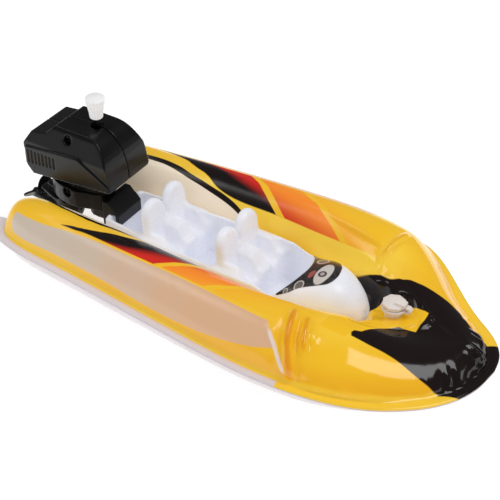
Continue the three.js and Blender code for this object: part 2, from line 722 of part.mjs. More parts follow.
// The direction of a tooth that leaves a gap facing the given direction.
function gapTowards(direction, teeth) {
  return direction + Math.PI / teeth;
}

const KEY_AT = [KEY_X, 0];
const DRIVE_AT = [DRIVE_X, 0];

function greatWheel() {
  const wheel = gear(KEY_AT, GREAT_TEETH, directionOf(KEY_AT, SECOND_AT), GREAT_Z[0], GREAT_Z[1]);
  const hub = upright(KEY_X, 0, 3, GREAT_Z[0] - 0.4, GREAT_Z[1] + 0.5);
  const bore = upright(KEY_X, 0, ARBOR_BORE, 0, THROUGH);
  return cut(join(wheel, hub), bore);
}

// A wheel with a pinion under it, turning on a fixed pin.
function wheelAndPinion(at, teeth, toothTo, gapTo, wheelZ, pinionZ) {
  const wheel = gear(at, teeth, directionOf(at, toothTo), wheelZ[0], wheelZ[1]);
  const gapDirection = gapTowards(directionOf(at, gapTo), PINION_TEETH);
  const pinion = gear(at, PINION_TEETH, gapDirection, pinionZ[0], pinionZ[1]);
  const bore = upright(at[0], at[1], WHEEL_BORE, 0, THROUGH, 12);
  return cut(join(wheel, pinion), bore);
}

function secondWheel() {
  const pinionZ = [GREAT_Z[0] - 0.4, SECOND_Z[0] + 0.2];
  return wheelAndPinion(SECOND_AT, SECOND_TEETH, THIRD_AT, KEY_AT, SECOND_Z, pinionZ);
}

function thirdWheel() {
  const pinionZ = [SECOND_Z[0] - 0.4, THIRD_Z[0] + 0.2];
  return wheelAndPinion(THIRD_AT, THIRD_TEETH, DRIVE_AT, SECOND_AT, THIRD_Z, pinionZ);
}

function drivePinion() {
  const first = gapTowards(directionOf(DRIVE_AT, THIRD_AT), PINION_TEETH);
  const pinion = gear(DRIVE_AT, PINION_TEETH, first, THIRD_Z[0] - 0.4, THIRD_Z[1] + 0.4);
  return cut(pinion, upright(DRIVE_X, 0, SHAFT_BORE, 0, THROUGH, 12));
}

function betweenPlates([x, y], radius) {
  return upright(x, y, radius, LOWER_PLATE_Z[1] + PIN_GAP, UPPER_PLATE_Z[0] - PIN_GAP, 12);
}

function framePlate([z0, z1], aft) {
  const shape = outline([
    [-63.2, -8.8], [-63.2, 8.8], [-70, 9.4], [-93.4, 8.6], [aft, 3], [aft, -3], [-93.4, -8.6],
    [-70, -9.4]]);
  const plate = slab(shape, z0, z1);
  const keyWay = upright(KEY_X, 0, ARBOR_BORE, 0, THROUGH);
  const shaftWay = upright(DRIVE_X, 0, SHAFT_BORE + 0.1, 0, THROUGH, 12);
  return cut(plate, keyWay, shaftWay);
}

function mainspring() {
  const turns = 3.4;
  const inner = 2.6;
  const pitch = 1.9;
  const points = spread(0, 2 * Math.PI * turns, 62).map((a) => {
    const radius = inner + pitch * a / (2 * Math.PI);
    return [radius * Math.cos(a), radius * Math.sin(a)];
  });
  const thick = 0.45;
  const outside = points.map(([x, y]) => {
    const grow = 1 + thick / Math.hypot(x, y);
    return [x * grow, y * grow];
  });
  const strip = outline([...points, ...outside.reverse()]);
  return slab(strip, SPRING_Z[0], SPRING_Z[1]).translate([KEY_X, 0, 0]);
}

function windingArbor() {
  return upright(KEY_X, 0, ARBOR_RADIUS, LOWER_PLATE_Z[0] + 0.2, KEY_FOOT_Z - 0.3, 12);
}

// The winding key: a flared knob with flutes, on the end of the arbor.
function windingKey() {
  const flutes = 12;
  const ring = (z, radius, depth) => {
    return spread(0, 2 * Math.PI, 2 * flutes + 1).slice(0, -1).map((a, i) => {
      const r = radius - (i % 2) * depth;
      return new THREE.Vector3(KEY_X + r * Math.cos(a), r * Math.sin(a), z);
    });
  };
  return loft([
    ring(KEY_FOOT_Z, 0.62 * KEY_RADIUS, 0.2), ring(KEY_FOOT_Z + 1, 0.69 * KEY_RADIUS, 0.3),
    ring(KEY_TOP_Z - 2.4, 0.96 * KEY_RADIUS, 0.45), ring(KEY_TOP_Z - 0.5, KEY_RADIUS, 0.45),
    ring(KEY_TOP_Z, 0.92 * KEY_RADIUS, 0.3)]);
}

function driveShaft() {
  return upright(DRIVE_X, 0, SHAFT_RADIUS, PROP_AXIS_Z + 1.9, UPPER_PLATE_Z[1] + 0.3, 12);
}

function bevelPinion() {
  const z0 = PROP_AXIS_Z + 2.2;
  const pinion = gear(DRIVE_AT, CROWN_TEETH, gapTowards(Math.PI, CROWN_TEETH), z0, z0 + 1.4);
  return cut(pinion, upright(DRIVE_X, 0, SHAFT_BORE, 0, THROUGH, 12));
}

function crownGear() {
  const disc = lengthwise(-99.2, -98.3, 3.5, PROP_AXIS_Z);
  const teeth = Array.from({ length: CROWN_TEETH }, (_, i) => {
    const tooth = block(-98.4, -97.1, -0.22, 0.22, 2.3, 3.4);
    return tooth.rotate([360 * i / CROWN_TEETH, 0, 0]).translate([0, 0, PROP_AXIS_Z]);
  });
  return cut(join(disc, ...teeth), lengthwise(-THROUGH, 0, SHAFT_BORE, PROP_AXIS_Z, 12));
}

function propellerShaft() {
  return lengthwise(PROP_X - 1.5, -89.4, SHAFT_RADIUS, PROP_AXIS_Z, 12);
}

function sternBush() {
  const way = lengthwise(-THROUGH, 0, SHAFT_BORE, PROP_AXIS_Z, 12);
  return cut(lengthwise(-104.4, -102.5, 2.3, PROP_AXIS_Z), way);
}

function propeller() {
  const hub = lengthwise(PROP_X - 2.4, PROP_X + 3, 2.2, PROP_AXIS_Z);
  const shape = new THREE.Shape();
  shape.moveTo(-1.4, 1);
  shape.quadraticCurveTo(-4, 6, -2, PROP_RADIUS - 0.6);
  shape.quadraticCurveTo(0, PROP_RADIUS + 0.6, 2.4, PROP_RADIUS - 1.4);
  shape.quadraticCurveTo(4, 5, 1.4, 1);
  shape.closePath();
  const flat = slab(shape, -0.45, 0.45);
  const upwards = flat.rotate([90, 0, 0]).rotate([0, 0, 40]);
  const blades = [60, 180, 300].map((turn) => {
    return upwards.rotate([turn, 0, 0]).translate([PROP_X, 0, PROP_AXIS_Z]);
  });
  return cut(join(hub, ...blades), lengthwise(-THROUGH, 0, SHAFT_BORE, PROP_AXIS_Z, 12));
}

// ---------------------------------------------------------------- assembly

const boat = new THREE.Group();

function place(name, body, material) {
  boat.add(meshOf(name, body, material));
}

place("hull_upper_skin", hullUpperSkin(), yellowFilm);
place("hull_lower_skin", hullLowerSkin(), clearFilm);
place("cockpit_tub", cockpitTub(), whitePlastic);
place("dash_decal", dashDecal(), stickerInk);
place("valve_stem", valveStem(), softVinyl);
place("valve_flap", valveFlap(), clearFilm);
place("valve_plug", valvePlug(), softVinyl);
place("valve_tether", valveTether(), softVinyl);

place("transom_clamp", transomClamp(), blackPlastic);
place("steering_pin", steeringPin(), steel);

const leg = halves(cut(legOutside(), ...legHollows()));
place("leg_port", leg.port, blackPlastic);
place("leg_starboard", leg.starboard, blackPlastic);
place("leg_screw_upper", screw(UPPER_SCREW_AT, 2, 0.9, -7.8, 6), steel);
place("leg_screw_lower", screw(LOWER_SCREW_AT, 1.4, 0.6, -4.2, 2.4), steel);

const cover = halves(cowl());
place("cowl_port", cover.port, blackPlastic);
place("cowl_starboard", cover.starboard, blackPlastic);
place("cowl_screw", screw(COWL_SCREW_AT, 1.6, 0.8, -9.8, 8), steel);

place("motor_plate_lower", framePlate(LOWER_PLATE_Z, -99.4), naturalNylon);
place("motor_plate_upper", framePlate(UPPER_PLATE_Z, -96), naturalNylon);
place("motor_pillar_port", betweenPlates(PILLARS_AT[0], 1), steel);
place("motor_pillar_starboard", betweenPlates(PILLARS_AT[1], 1), steel);
place("motor_pillar_aft", betweenPlates(PILLARS_AT[2], 1), steel);
place("mainspring", mainspring(), springSteel);
place("winding_arbor", windingArbor(), steel);
place("winding_key", windingKey(), whitePlastic);
place("great_wheel", greatWheel(), naturalNylon);
place("second_arbor", betweenPlates(SECOND_AT, WHEEL_PIN_RADIUS), steel);
place("second_wheel", secondWheel(), naturalNylon);
place("third_arbor", betweenPlates(THIRD_AT, WHEEL_PIN_RADIUS), steel);
place("third_wheel", thirdWheel(), naturalNylon);
place("drive_pinion", drivePinion(), naturalNylon);
place("drive_shaft", driveShaft(), steel);
place("bevel_pinion", bevelPinion(), brass);
place("crown_gear", crownGear(), brass);
place("propeller_shaft", propellerShaft(), steel);
place("stern_bush", sternBush(), brass);
place("propeller", propeller(), blackPlastic);

export default boat;
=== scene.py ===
# Inflatable toy speedboat with a clip-on clockwork outboard: the looks around the CAD frame.
# Blender works in metres. Shapes are written in millimetres and scaled by MM when a mesh is made.
# +X is the bow, +Y is port, +Z is up, and z = 0 is the plane the boat rests on.
import math

import bpy
import bmesh
import numpy as np
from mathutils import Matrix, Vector


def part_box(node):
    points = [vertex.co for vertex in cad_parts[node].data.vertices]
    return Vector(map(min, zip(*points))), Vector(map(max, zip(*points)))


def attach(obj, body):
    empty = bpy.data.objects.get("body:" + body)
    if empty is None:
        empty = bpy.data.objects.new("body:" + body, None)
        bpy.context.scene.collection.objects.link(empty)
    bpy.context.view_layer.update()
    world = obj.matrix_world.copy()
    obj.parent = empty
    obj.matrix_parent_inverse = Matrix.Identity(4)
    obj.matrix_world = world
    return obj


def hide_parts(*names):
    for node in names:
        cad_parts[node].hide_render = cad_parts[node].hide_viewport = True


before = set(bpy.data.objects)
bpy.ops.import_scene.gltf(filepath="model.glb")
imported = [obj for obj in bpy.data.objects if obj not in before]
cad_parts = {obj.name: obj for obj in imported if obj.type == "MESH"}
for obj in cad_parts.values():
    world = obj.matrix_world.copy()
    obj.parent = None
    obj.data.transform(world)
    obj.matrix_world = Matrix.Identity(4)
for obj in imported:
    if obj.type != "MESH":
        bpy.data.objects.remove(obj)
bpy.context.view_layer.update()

MM = 0.001


# ------------ places, from the frame

def box_mm(node):
    """A CAD node's lowest and highest corners in millimetres."""
    low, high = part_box(node)
    return np.array(low) / MM, np.array(high) / MM


def middle_mm(node):
    low, high = box_mm(node)
    return (low + high) / 2


TUB_LOW, TUB_HIGH = box_mm("cockpit_tub")
KEY_LOW, KEY_HIGH = box_mm("winding_key")
VALVE_X = middle_mm("valve_stem")[0]
KEY_X = middle_mm("winding_arbor")[0]


# ------------ curves

def smooth(a, b, x):
    """0 before a, 1 after b, and a smooth step between."""
    t = np.clip((np.asarray(x, float) - a) / (b - a), 0, 1)
    return t * t * (3 - 2 * t)


def through(points):
    """A smooth curve through (x, value) points, as a function of x."""
    xs, values = np.array(points, float).T
    slopes = np.empty(len(xs))
    slopes[1:-1] = (values[2:] - values[:-2]) / (xs[2:] - xs[:-2])
    slopes[0] = (values[1] - values[0]) / (xs[1] - xs[0])
    slopes[-1] = (values[-1] - values[-2]) / (xs[-1] - xs[-2])

    def curve(x):
        x = np.asarray(x, float)
        i = np.clip(np.searchsorted(xs, x, side="right") - 1, 0, len(xs) - 2)
        h = xs[i + 1] - xs[i]
        t = np.clip((x - xs[i]) / h, 0, 1)
        t2, t3 = t * t, t * t * t
        return (values[i] * (2 * t3 - 3 * t2 + 1) + slopes[i] * h * (t3 - 2 * t2 + t)
                + values[i + 1] * (3 * t2 - 2 * t3) + slopes[i + 1] * h * (t3 - t2))
    return curve


def running_length(points):
    """The length of a line of points up to each of them."""
    steps = np.linalg.norm(np.diff(points, axis=0), axis=1)
    return np.concatenate([[0], np.cumsum(steps)])


def even_curve(points, count):
    """A smooth plan curve through points, as count points evenly spaced, with the length to each."""
    points = np.array(points, float)
    rough = running_length(points)
    fx, fy = through(np.c_[rough, points[:, 0]]), through(np.c_[rough, points[:, 1]])
    fine = np.linspace(0, rough[-1], 2000)
    line = np.c_[fx(fine), fy(fine)]
    length = running_length(line)
    even = np.linspace(0, length[-1], count)
    return np.c_[np.interp(even, length, line[:, 0]), np.interp(even, length, line[:, 1])], even


# ------------ meshes

def grid_faces(rows, columns, start=0):
    """Quads of a grid of vertices stored row by row."""
    i, j = np.meshgrid(np.arange(rows - 1), np.arange(columns - 1), indexing="ij")
    a = (start + i * columns + j).ravel()
    return np.c_[a, a + columns, a + columns + 1, a + 1]


def add_object(name, data):
    """A new object in the scene that holds a mesh, a light or a camera."""
    made = bpy.data.objects.new(name, data)
    bpy.context.scene.collection.objects.link(made)
    return made


def new_piece(name, points_mm, faces, material):
    """A smooth-shaded mesh object made from points in millimetres."""
    mesh = bpy.data.meshes.new(name)
    mesh.from_pydata((np.asarray(points_mm) * MM).tolist(), [], [list(map(int, f)) for f in faces])
    mesh.update()
    piece = add_object(name, mesh)
    mesh.polygons.foreach_set("use_smooth", [True] * len(mesh.polygons))
    mesh.materials.append(material)
    return piece


def corner_vertices(mesh):
    """The vertex at each face corner."""
    corners = np.empty(len(mesh.loops), int)
    mesh.loops.foreach_get("vertex_index", corners)
    return corners


def set_uv(mesh, name, uv_by_vertex):
    layer = mesh.uv_layers.new(name=name)
    layer.data.foreach_set("uv", uv_by_vertex[corner_vertices(mesh)].ravel())


def weld(mesh, distance_mm=0.01):
    """Merges points that coincide and drops the faces that vanish."""
    bm = bmesh.new()
    bm.from_mesh(mesh)
    bmesh.ops.remove_doubles(bm, verts=bm.verts, dist=distance_mm * MM)
    bmesh.ops.dissolve_degenerate(bm, edges=bm.edges, dist=distance_mm * MM)
    bm.to_mesh(mesh)
    bm.free()


def apply_modifiers(piece):
    """Replaces the piece's mesh with the one its modifiers make."""
    graph = bpy.context.evaluated_depsgraph_get()
    made = bpy.data.meshes.new_from_object(piece.evaluated_get(graph))
    old = piece.data
    piece.modifiers.clear()
    piece.data = made
    bpy.data.meshes.remove(old)


def vectors(mesh, kind):
    """The place ("co") or the direction ("normal") of each vertex."""
    flat = np.empty(len(mesh.vertices) * 3)
    mesh.vertices.foreach_get(kind, flat)
    return flat.reshape(-1, 3)


def relax(piece, rounds):
    """Evens a surface out, so its sharp edges become round."""
    even = piece.modifiers.new("relax", "SMOOTH")
    even.factor = 0.5
    even.iterations = rounds


def film(piece, thickness_mm, offset=-1):
    """Gives an open surface the thickness of its film."""
    shell = piece.modifiers.new("film", "SOLIDIFY")
    shell.thickness = thickness_mm * MM
    shell.offset = offset
    apply_modifiers(piece)


def ride(piece, body, node):
    """Puts a piece on a body, in place of the CAD node it shows."""
    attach(piece, body)
    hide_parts(node)


# ------------ solids from distance fields

def surface_net(field, low, cell):
    """The zero surface of a field of samples: one point in each cell it crosses, joined by quads."""
    cells_shape = tuple(n - 1 for n in field.shape)
    total = np.zeros(cells_shape + (3,), np.float32)
    count = np.zeros(cells_shape, np.float32)
    crossings = []
    for axis in range(3):
        a, b = (axis + 1) % 3, (axis + 2) % 3
        first = [slice(None)] * 3
        second = [slice(None)] * 3
        first[axis] = slice(0, -1)
        second[axis] = slice(1, None)
        f0, f1 = field[tuple(first)], field[tuple(second)]
        crossed = (f0 < 0) != (f1 < 0)
        share = np.where(crossed, f0 / np.where(crossed, f0 - f1, 1), 0).astype(np.float32)
        crossings.append((crossed, f0 < 0))
        for da in (0, 1):
            for db in (0, 1):
                part = [slice(None)] * 3
                part[a] = slice(da, cells_shape[a] + da)
                part[b] = slice(db, cells_shape[b] + db)
                hit = crossed[tuple(part)]
                count += hit
                total[..., axis] += share[tuple(part)]
                total[..., a] += hit * da
                total[..., b] += hit * db
    used = count > 0
    index = np.full(cells_shape, -1)
    index[used] = np.arange(used.sum())
    points = np.asarray(low) + (np.argwhere(used) + total[used] / count[used][:, None]) * cell
    quads = []
    for axis in range(3):
        crossed, low_inside = crossings[axis]
        a, b = (axis + 1) % 3, (axis + 2) % 3
        at = np.argwhere(crossed)
        keep = ((at[:, a] > 0) & (at[:, b] > 0)
                & (at[:, a] < cells_shape[a]) & (at[:, b] < cells_shape[b]))
        at = at[keep]
        inside = low_inside[tuple(at.T)]
        back_a, back_b = np.zeros(3, int), np.zeros(3, int)
        back_a[a], back_b[b] = 1, 1
        ring = [at - back_a - back_b, at - back_b, at, at - back_a]
        quad = np.stack([index[tuple(p.T)] for p in ring], axis=1)
        quad[~inside] = quad[~inside][:, ::-1]
        quads.append(quad)
    return points, np.concatenate(quads)


def moulding(name, distance, low, high, cell, material):
    """A solid whose surface is where distance(x, y, z) is zero, sampled every cell millimetres."""
    low = np.array(low, float) - 2 * cell
    axes = [np.arange(low[k], high[k] + 2.5 * cell, cell, dtype=np.float32) for k in range(3)]
    x, y, z = np.meshgrid(*axes, indexing="ij", sparse=True)
    field = np.broadcast_to(distance(x, y, z), tuple(len(a) for a in axes)).astype(np.float32)
    points, quads = surface_net(field, low, cell)
    piece = new_piece(name, points, quads, material)
    relax(piece, 2)
    apply_modifiers(piece)
    return piece


def soft_max(a, b, radius):
    """The overlap of two solids with its new edges rounded."""
    h = np.clip(0.5 - 0.5 * (b - a) / radius, 0, 1)
    return b + (a - b) * h + radius * h * (1 - h)


def soft_min(a, b, radius):
    """Two solids joined with a fillet."""
    return -soft_max(-a, -b, radius)


def slab(value, low, high):
    """Distance to the space between two planes."""
    return np.abs(value - (low + high) / 2) - (high - low) / 2


# ------------ shader values

class Value:
    """A number in a shader: arithmetic on it makes Math nodes."""

    def __init__(self, tree, socket):
        self.tree = tree
        self.socket = socket

    def math(self, operation, *others):
        node = self.tree.nodes.new("ShaderNodeMath")
        node.operation = operation
        self.tree.links.new(self.socket, node.inputs[0])
        for i, other in enumerate(others):
            plug(self.tree, other, node.inputs[i + 1])
        return Value(self.tree, node.outputs[0])

    def __add__(self, other):
        return self.math("ADD", other)

    def __sub__(self, other):
        return self.math("SUBTRACT", other)

    def __mul__(self, other):
        return self.math("MULTIPLY", other)

    def __truediv__(self, other):
        return self.math("DIVIDE", other)

    def __rsub__(self, other):
        return (self * -1) + other


def plug(tree, source, socket):
    """Feeds a socket with a shader value, a colour node's output or a plain constant."""
    if isinstance(source, Value):
        tree.links.new(source.socket, socket)
    elif isinstance(source, bpy.types.NodeSocket):
        tree.links.new(source, socket)
    else:
        socket.default_value = source


def step(value, a, b):
    """Smooth step of a shader value from 0 at a to 1 at b."""
    node = value.tree.nodes.new("ShaderNodeMapRange")
    node.interpolation_type = "SMOOTHSTEP"
    value.tree.links.new(value.socket, node.inputs["Value"])
    plug(value.tree, a, node.inputs["From Min"])
    plug(value.tree, b, node.inputs["From Max"])
    return Value(value.tree, node.outputs["Result"])


def both(a, b):
    """Where two masks overlap."""
    return a * b


def curve_of(value, points, straight=False):
    """A printed outline: the height of a curve through (x, y) points, at x = value."""
    xs = [p[0] for p in points]
    ys = [p[1] for p in points]
    x0, x1, y0, y1 = min(xs), max(xs), min(ys), max(ys)
    height = (y1 - y0) or 1
    node = value.tree.nodes.new("ShaderNodeFloatCurve")
    line = node.mapping.curves[0]
    for i, (x, y) in enumerate(points):
        at = ((x - x0) / (x1 - x0), (y - y0) / height)
        point = line.points[i] if i < 2 else line.points.new(*at)
        if i < 2:
            point.location = at
    for point in line.points:
        point.handle_type = "VECTOR" if straight else "AUTO"
    node.mapping.update()
    plug(value.tree, (value - x0) / (x1 - x0), node.inputs["Value"])
    return Value(value.tree, node.outputs["Value"]) * height + y0


def blend(below, above, amount):
    """A colour laid over another by a shader value from 0 to 1."""
    tree = amount.tree
    node = tree.nodes.new("ShaderNodeMix")
    node.data_type = "RGBA"
    plug(tree, amount, node.inputs["Factor"])
    plug(tree, below, node.inputs["A"])
    plug(tree, above, node.inputs["B"])
    return node.outputs["Result"]


def rgb(red, green, blue):
    """An sRGB colour in 0 to 255 as a linear RGBA."""
    linear = [(c / 255 / 12.92) if c <= 10 else ((c / 255 + 0.055) / 1.055) ** 2.4
              for c in (red, green, blue)]
    return (*linear, 1)


class Material:
    """A Principled material with its tree at hand."""

    def __init__(self, name):
        self.material = bpy.data.materials.new(name)
        self.material.use_nodes = True
        self.tree = self.material.node_tree
        self.shader = self.tree.nodes["Principled BSDF"]

    def set(self, **values):
        for name, source in values.items():
            plug(self.tree, source, self.shader.inputs[name.replace("_", " ")])

    def node(self, kind, **inputs):
        node = self.tree.nodes.new(kind)
        for name, source in inputs.items():
            plug(self.tree, source, node.inputs[name.replace("_", " ")])
        return node

    def place(self):
        """The point on the piece, in metres."""
        return self.tree.nodes.new("ShaderNodeTexCoord").outputs["Object"]

    def first_two(self, vector):
        """The X and Y of a vector."""
        split = self.node("ShaderNodeSeparateXYZ", Vector=vector)
        return Value(self.tree, split.outputs["X"]), Value(self.tree, split.outputs["Y"])

    def uv(self, name):
        """The two coordinates that a UV map holds, from 0 to 1."""
        node = self.tree.nodes.new("ShaderNodeUVMap")
        node.uv_map = name
        return self.first_two(node.outputs["UV"])

    def noise(self, per_metre, detail=3.0, stretch=None):
        where = self.place()
        if stretch:
            scaled = self.node("ShaderNodeMapping", Vector=where, Scale=stretch)
            where = scaled.outputs["Vector"]
        node = self.node("ShaderNodeTexNoise", Vector=where, Scale=per_metre, Detail=detail)
        return Value(self.tree, node.outputs["Fac"])

    def bump(self, height, strength, distance_mm, below=None):
        node = self.node("ShaderNodeBump", Height=height, Strength=strength, Distance=distance_mm * MM)
        if below is not None:
            self.tree.links.new(below, node.inputs["Normal"])
        self.tree.links.new(node.outputs["Normal"], self.shader.inputs["Normal"])
        return node.outputs["Normal"]


def grained(name, colour, shade, roughness, spread, per_metre, bump_mm=0.02, **extra):
    """A moulded finish: its colour drifts to a shade, and fine grain varies its gloss and relief."""
    made = Material(name)
    drift = step(made.noise(per_metre * 0.05, 2.0), 0.35, 0.65)
    grain = made.noise(per_metre, 4.0)
    made.set(Base_Color=blend(colour, shade, drift),
             Roughness=grain * spread + (roughness - spread / 2), **extra)
    made.bump(grain, 0.25, bump_mm)
    return made.material


def drawn_metal(name, colour, shade, roughness, per_metre=900):
    """Turned or drawn metal with fine lines along it."""
    made = Material(name)
    lines = made.noise(per_metre, 2.0, stretch=(1.0, 1.0, 12.0))
    made.set(Base_Color=blend(colour, shade, lines), Metallic=1.0,
             Roughness=lines * 0.15 + roughness)
    made.bump(lines, 0.2, 0.01)
    return made.material


# ------------ the print on the upper film

YELLOW = rgb(240, 188, 36)
DEEP_YELLOW = rgb(228, 154, 22)
PALE_YELLOW = rgb(247, 206, 66)
THIN_YELLOW = rgb(240, 222, 160)
# darker orange painted as shade inside the folds
CREASE_SHADE = rgb(220, 132, 14)
BEIGE = rgb(214, 172, 136)
BEIGE_GREY = rgb(199, 184, 168)
CREAM = rgb(246, 230, 206)
PALE_CREAM = rgb(238, 214, 182)
INK = rgb(22, 12, 12)
RED = rgb(206, 34, 24)
ORANGE = rgb(247, 138, 38)
AMBER = rgb(247, 164, 34)
CLEAR = rgb(226, 218, 222)

# Outlines on the film as (along the seam from the stern, up the side from the seam), millimetres.
UV_LENGTH = 300
UV_GIRTH = 200
PLAN_SPAN = 400
PANEL_MIDDLE = 9
PANEL_TOP = [(12, 11), (16, 12.9), (32, 14.3), (49, 16.7), (86, 20.1), (115, 21.4), (144, 21.3),
             (158, 20)]
PANEL_FOOT = [(12, 6), (17, 4.5), (23, 4.3), (35, 5), (66, 5.4), (98, 4.7), (111, 5.4), (132, 8),
              (150, 12.5), (158, 15)]
PANEL_STERN = 13.4
PANEL_STERN_BEND = 0.1
PANEL_BOW = 155.5
PANEL_BOW_FOOT = 4.7
PANEL_BOW_SLANT = 0.76
FLAME_START = 39.8
FLAME_OUTER = [(38, 17.2), (44, 17.7), (52, 18.8), (65, 19.6), (83, 21.1), (100, 21.6), (115, 22.4),
               (140, 23.2), (190, 24)]
FLAME_INNER = [(38, 16.8), (40, 17.4), (55, 22.6), (69, 28.4), (87, 37.4), (108, 39.6), (139, 42.1),
               (163, 40.8), (190, 40)]
FLAME_FADE = (156, 168)
LINE = [(0, 27.5), (26, 27.5), (47, 27.8), (54, 29), (60, 30.8), (74, 35.3), (87, 39.8), (92, 42.5),
        (120, 60)]
LINE_END = 92
LINE_HALF = 1.1
# the painted highlight streak beside the side panel's bow end
HIGHLIGHT_STREAK = [(3.5, 155.9), (6, 153.9), (10, 151), (14.6, 147.6), (19, 144.5)]
STRIPES = [((89.6, 21), (110, 39.7)), ((117.9, 25.3), (140.9, 42.5))]
STRIPE_HALF = 1.6
PRINT_EDGE = 0.28
# Outlines on the foredeck in plan.
BLACK_NEAR = [(40, -30), (58, -27.6), (68, -26), (78, -24.9), (88, -25.3), (93, -24.7), (98, -22.5),
              (103, -20.8), (110, -20)]
BLACK_FAR = [(40, 15), (55, 13.4), (66, 15.6), (76, 16.6), (84, 15.6), (90, 12.5), (97, 10.5),
             (103, 12.4), (110, 13)]
BLACK_FROM_X = 46.5
BLACK_LEAN = 0.55
ARROW_NEAR = [(50, -31), (60.4, -29), (61.2, -23.4), (63.4, -22), (65, -18), (67.7, -12), (71.3, -7.4),
              (77.4, -5.6), (79, -5.5)]
ARROW_FAR_Y = 4.9
ARROW_FROM_X = 50
ARROW_END_X = 77.6


def over(curve, value):
    """1 where a value lies past a printed outline, with the print's slightly soft edge."""
    return step(value - curve, -PRINT_EDGE, PRINT_EDGE)


def yellow_ground(made, along, up):
    """Yellow ink: paler at the weld and at the thinly printed stern ends. Painted light makes it paler
    over the crown, and painted shade deeper in a band low on the sides.
    """
    drift = made.noise(35, 3.0)
    # painted light: the crown, the lit top of each tube, is paler
    colour = blend(YELLOW, PALE_YELLOW, step(up, 16, 34))
    colour = blend(colour, DEEP_YELLOW, step(drift, 0.42, 0.78) * 0.3)
    # painted shade: a deeper band low on the sides
    shaded_band = both(step(up, 1.2, 3.5), 1 - step(up, 6, 14)) * 0.35
    colour = blend(colour, DEEP_YELLOW, both(shaded_band, step(along, 60, 130)))
    colour = blend(colour, PALE_YELLOW, (1 - step(up, 1.5, 4)) * 0.6)
    pale_end = both(1 - step(along, 4, 15), step(up, 9, 18)) * 0.7
    return blend(colour, THIN_YELLOW, pale_end)


def side_panel(made, colour, along, up):
    """The clear-looking side panel with its slanting bow end, and a painted highlight streak beside it.
    """
    rise = up - PANEL_MIDDLE
    stern = step(along - rise * rise * PANEL_STERN_BEND, PANEL_STERN, PANEL_STERN + 0.8)
    bow = 1 - step(along - PANEL_BOW + (up - PANEL_BOW_FOOT) * PANEL_BOW_SLANT, -0.4, 0.4)
    height = both(over(curve_of(along, PANEL_FOOT), up), 1 - over(curve_of(along, PANEL_TOP), up))
    streak = made.noise(60, 2.0, stretch=(1.0, 0.3, 0.3))
    beige = blend(BEIGE_GREY, BEIGE, step(along + streak * 60, 60, 150))
    colour = blend(colour, beige, both(height, both(stern, bow)))
    # painted highlight: a pale streak beside the panel's bow end, where the film catches light
    beside = (along - curve_of(up, HIGHLIGHT_STREAK)).math("ABSOLUTE")
    painted_highlight = both(1 - step(beside, 0.5, 1.3), both(step(up, 3.5, 5.5), 1 - step(up, 17, 19.5)))
    return blend(colour, CLEAR, painted_highlight * 0.75)


def flames(colour, along, up):
    """Three shaded fields between two outlines, parted by two slanting yellow stripes."""
    outer = curve_of(along, FLAME_OUTER)
    inner = curve_of(along, FLAME_INNER)
    across = (up - outer) / (inner - outer).math("MAXIMUM", 0.5)
    flame = both(over(outer, up), 1 - over(inner, up))
    flame = both(flame, step(along, FLAME_START, FLAME_START + 1))
    first = blend(INK, RED, step(along - across * 56, 54, 76))
    turn = along * 0.4 - across * 30
    second = blend(RED, ORANGE, step(turn, 12, 33))
    second = blend(second, AMBER, step(turn, 33, 49) * 0.85)
    third = blend(AMBER, YELLOW, step(along * 0.4 - across * 14, 36, 56))
    sides = []
    for (u0, v0), (u1, v1) in STRIPES:
        lean = (u1 - u0) / (v1 - v0)
        sides.append(along - u0 - (up - v0) * lean)
    fields = blend(first, second, step(sides[0], -0.5, 0.5))
    fields = blend(fields, third, step(sides[1], -0.5, 0.5))
    colour = blend(colour, fields, both(flame, 1 - step(along, *FLAME_FADE)))
    for side in sides:
        stripe = 1 - step(side.math("ABSOLUTE"), STRIPE_HALF, STRIPE_HALF + 0.5)
        colour = blend(colour, YELLOW, both(stripe, flame))
    return colour


def cream_field(colour, along, up, x):
    """The black line along the inside of each tube, with cream inside it."""
    line = curve_of(along, LINE)
    cream = blend(CREAM, PALE_CREAM, step(up - line, 6, 30))
    colour = blend(colour, cream, both(over(line, up), 1 - step(x, 0.5, 1.5)))
    stroke = 1 - step((up - line).math("ABSOLUTE"), LINE_HALF, LINE_HALF + PRINT_EDGE)
    return blend(colour, INK, both(stroke, 1 - step(along, LINE_END, LINE_END + 1)))


def bow_field(colour, x, y):
    """The bow's black field with its yellow arrow, both drawn in plan."""
    black = both(over(curve_of(x, BLACK_NEAR), y), 1 - over(curve_of(x, BLACK_FAR), y))
    black = both(black, step(x + y * BLACK_LEAN, BLACK_FROM_X, BLACK_FROM_X + 1))
    colour = blend(colour, INK, black)
    wide = both(over(curve_of(x, ARROW_NEAR, straight=True), y),
                1 - step(y, ARROW_FAR_Y, ARROW_FAR_Y + 0.5))
    long = both(step(x, ARROW_FROM_X, ARROW_FROM_X + 1), 1 - step(x, ARROW_END_X, ARROW_END_X + 0.5))
    return blend(colour, YELLOW, both(wide, long))


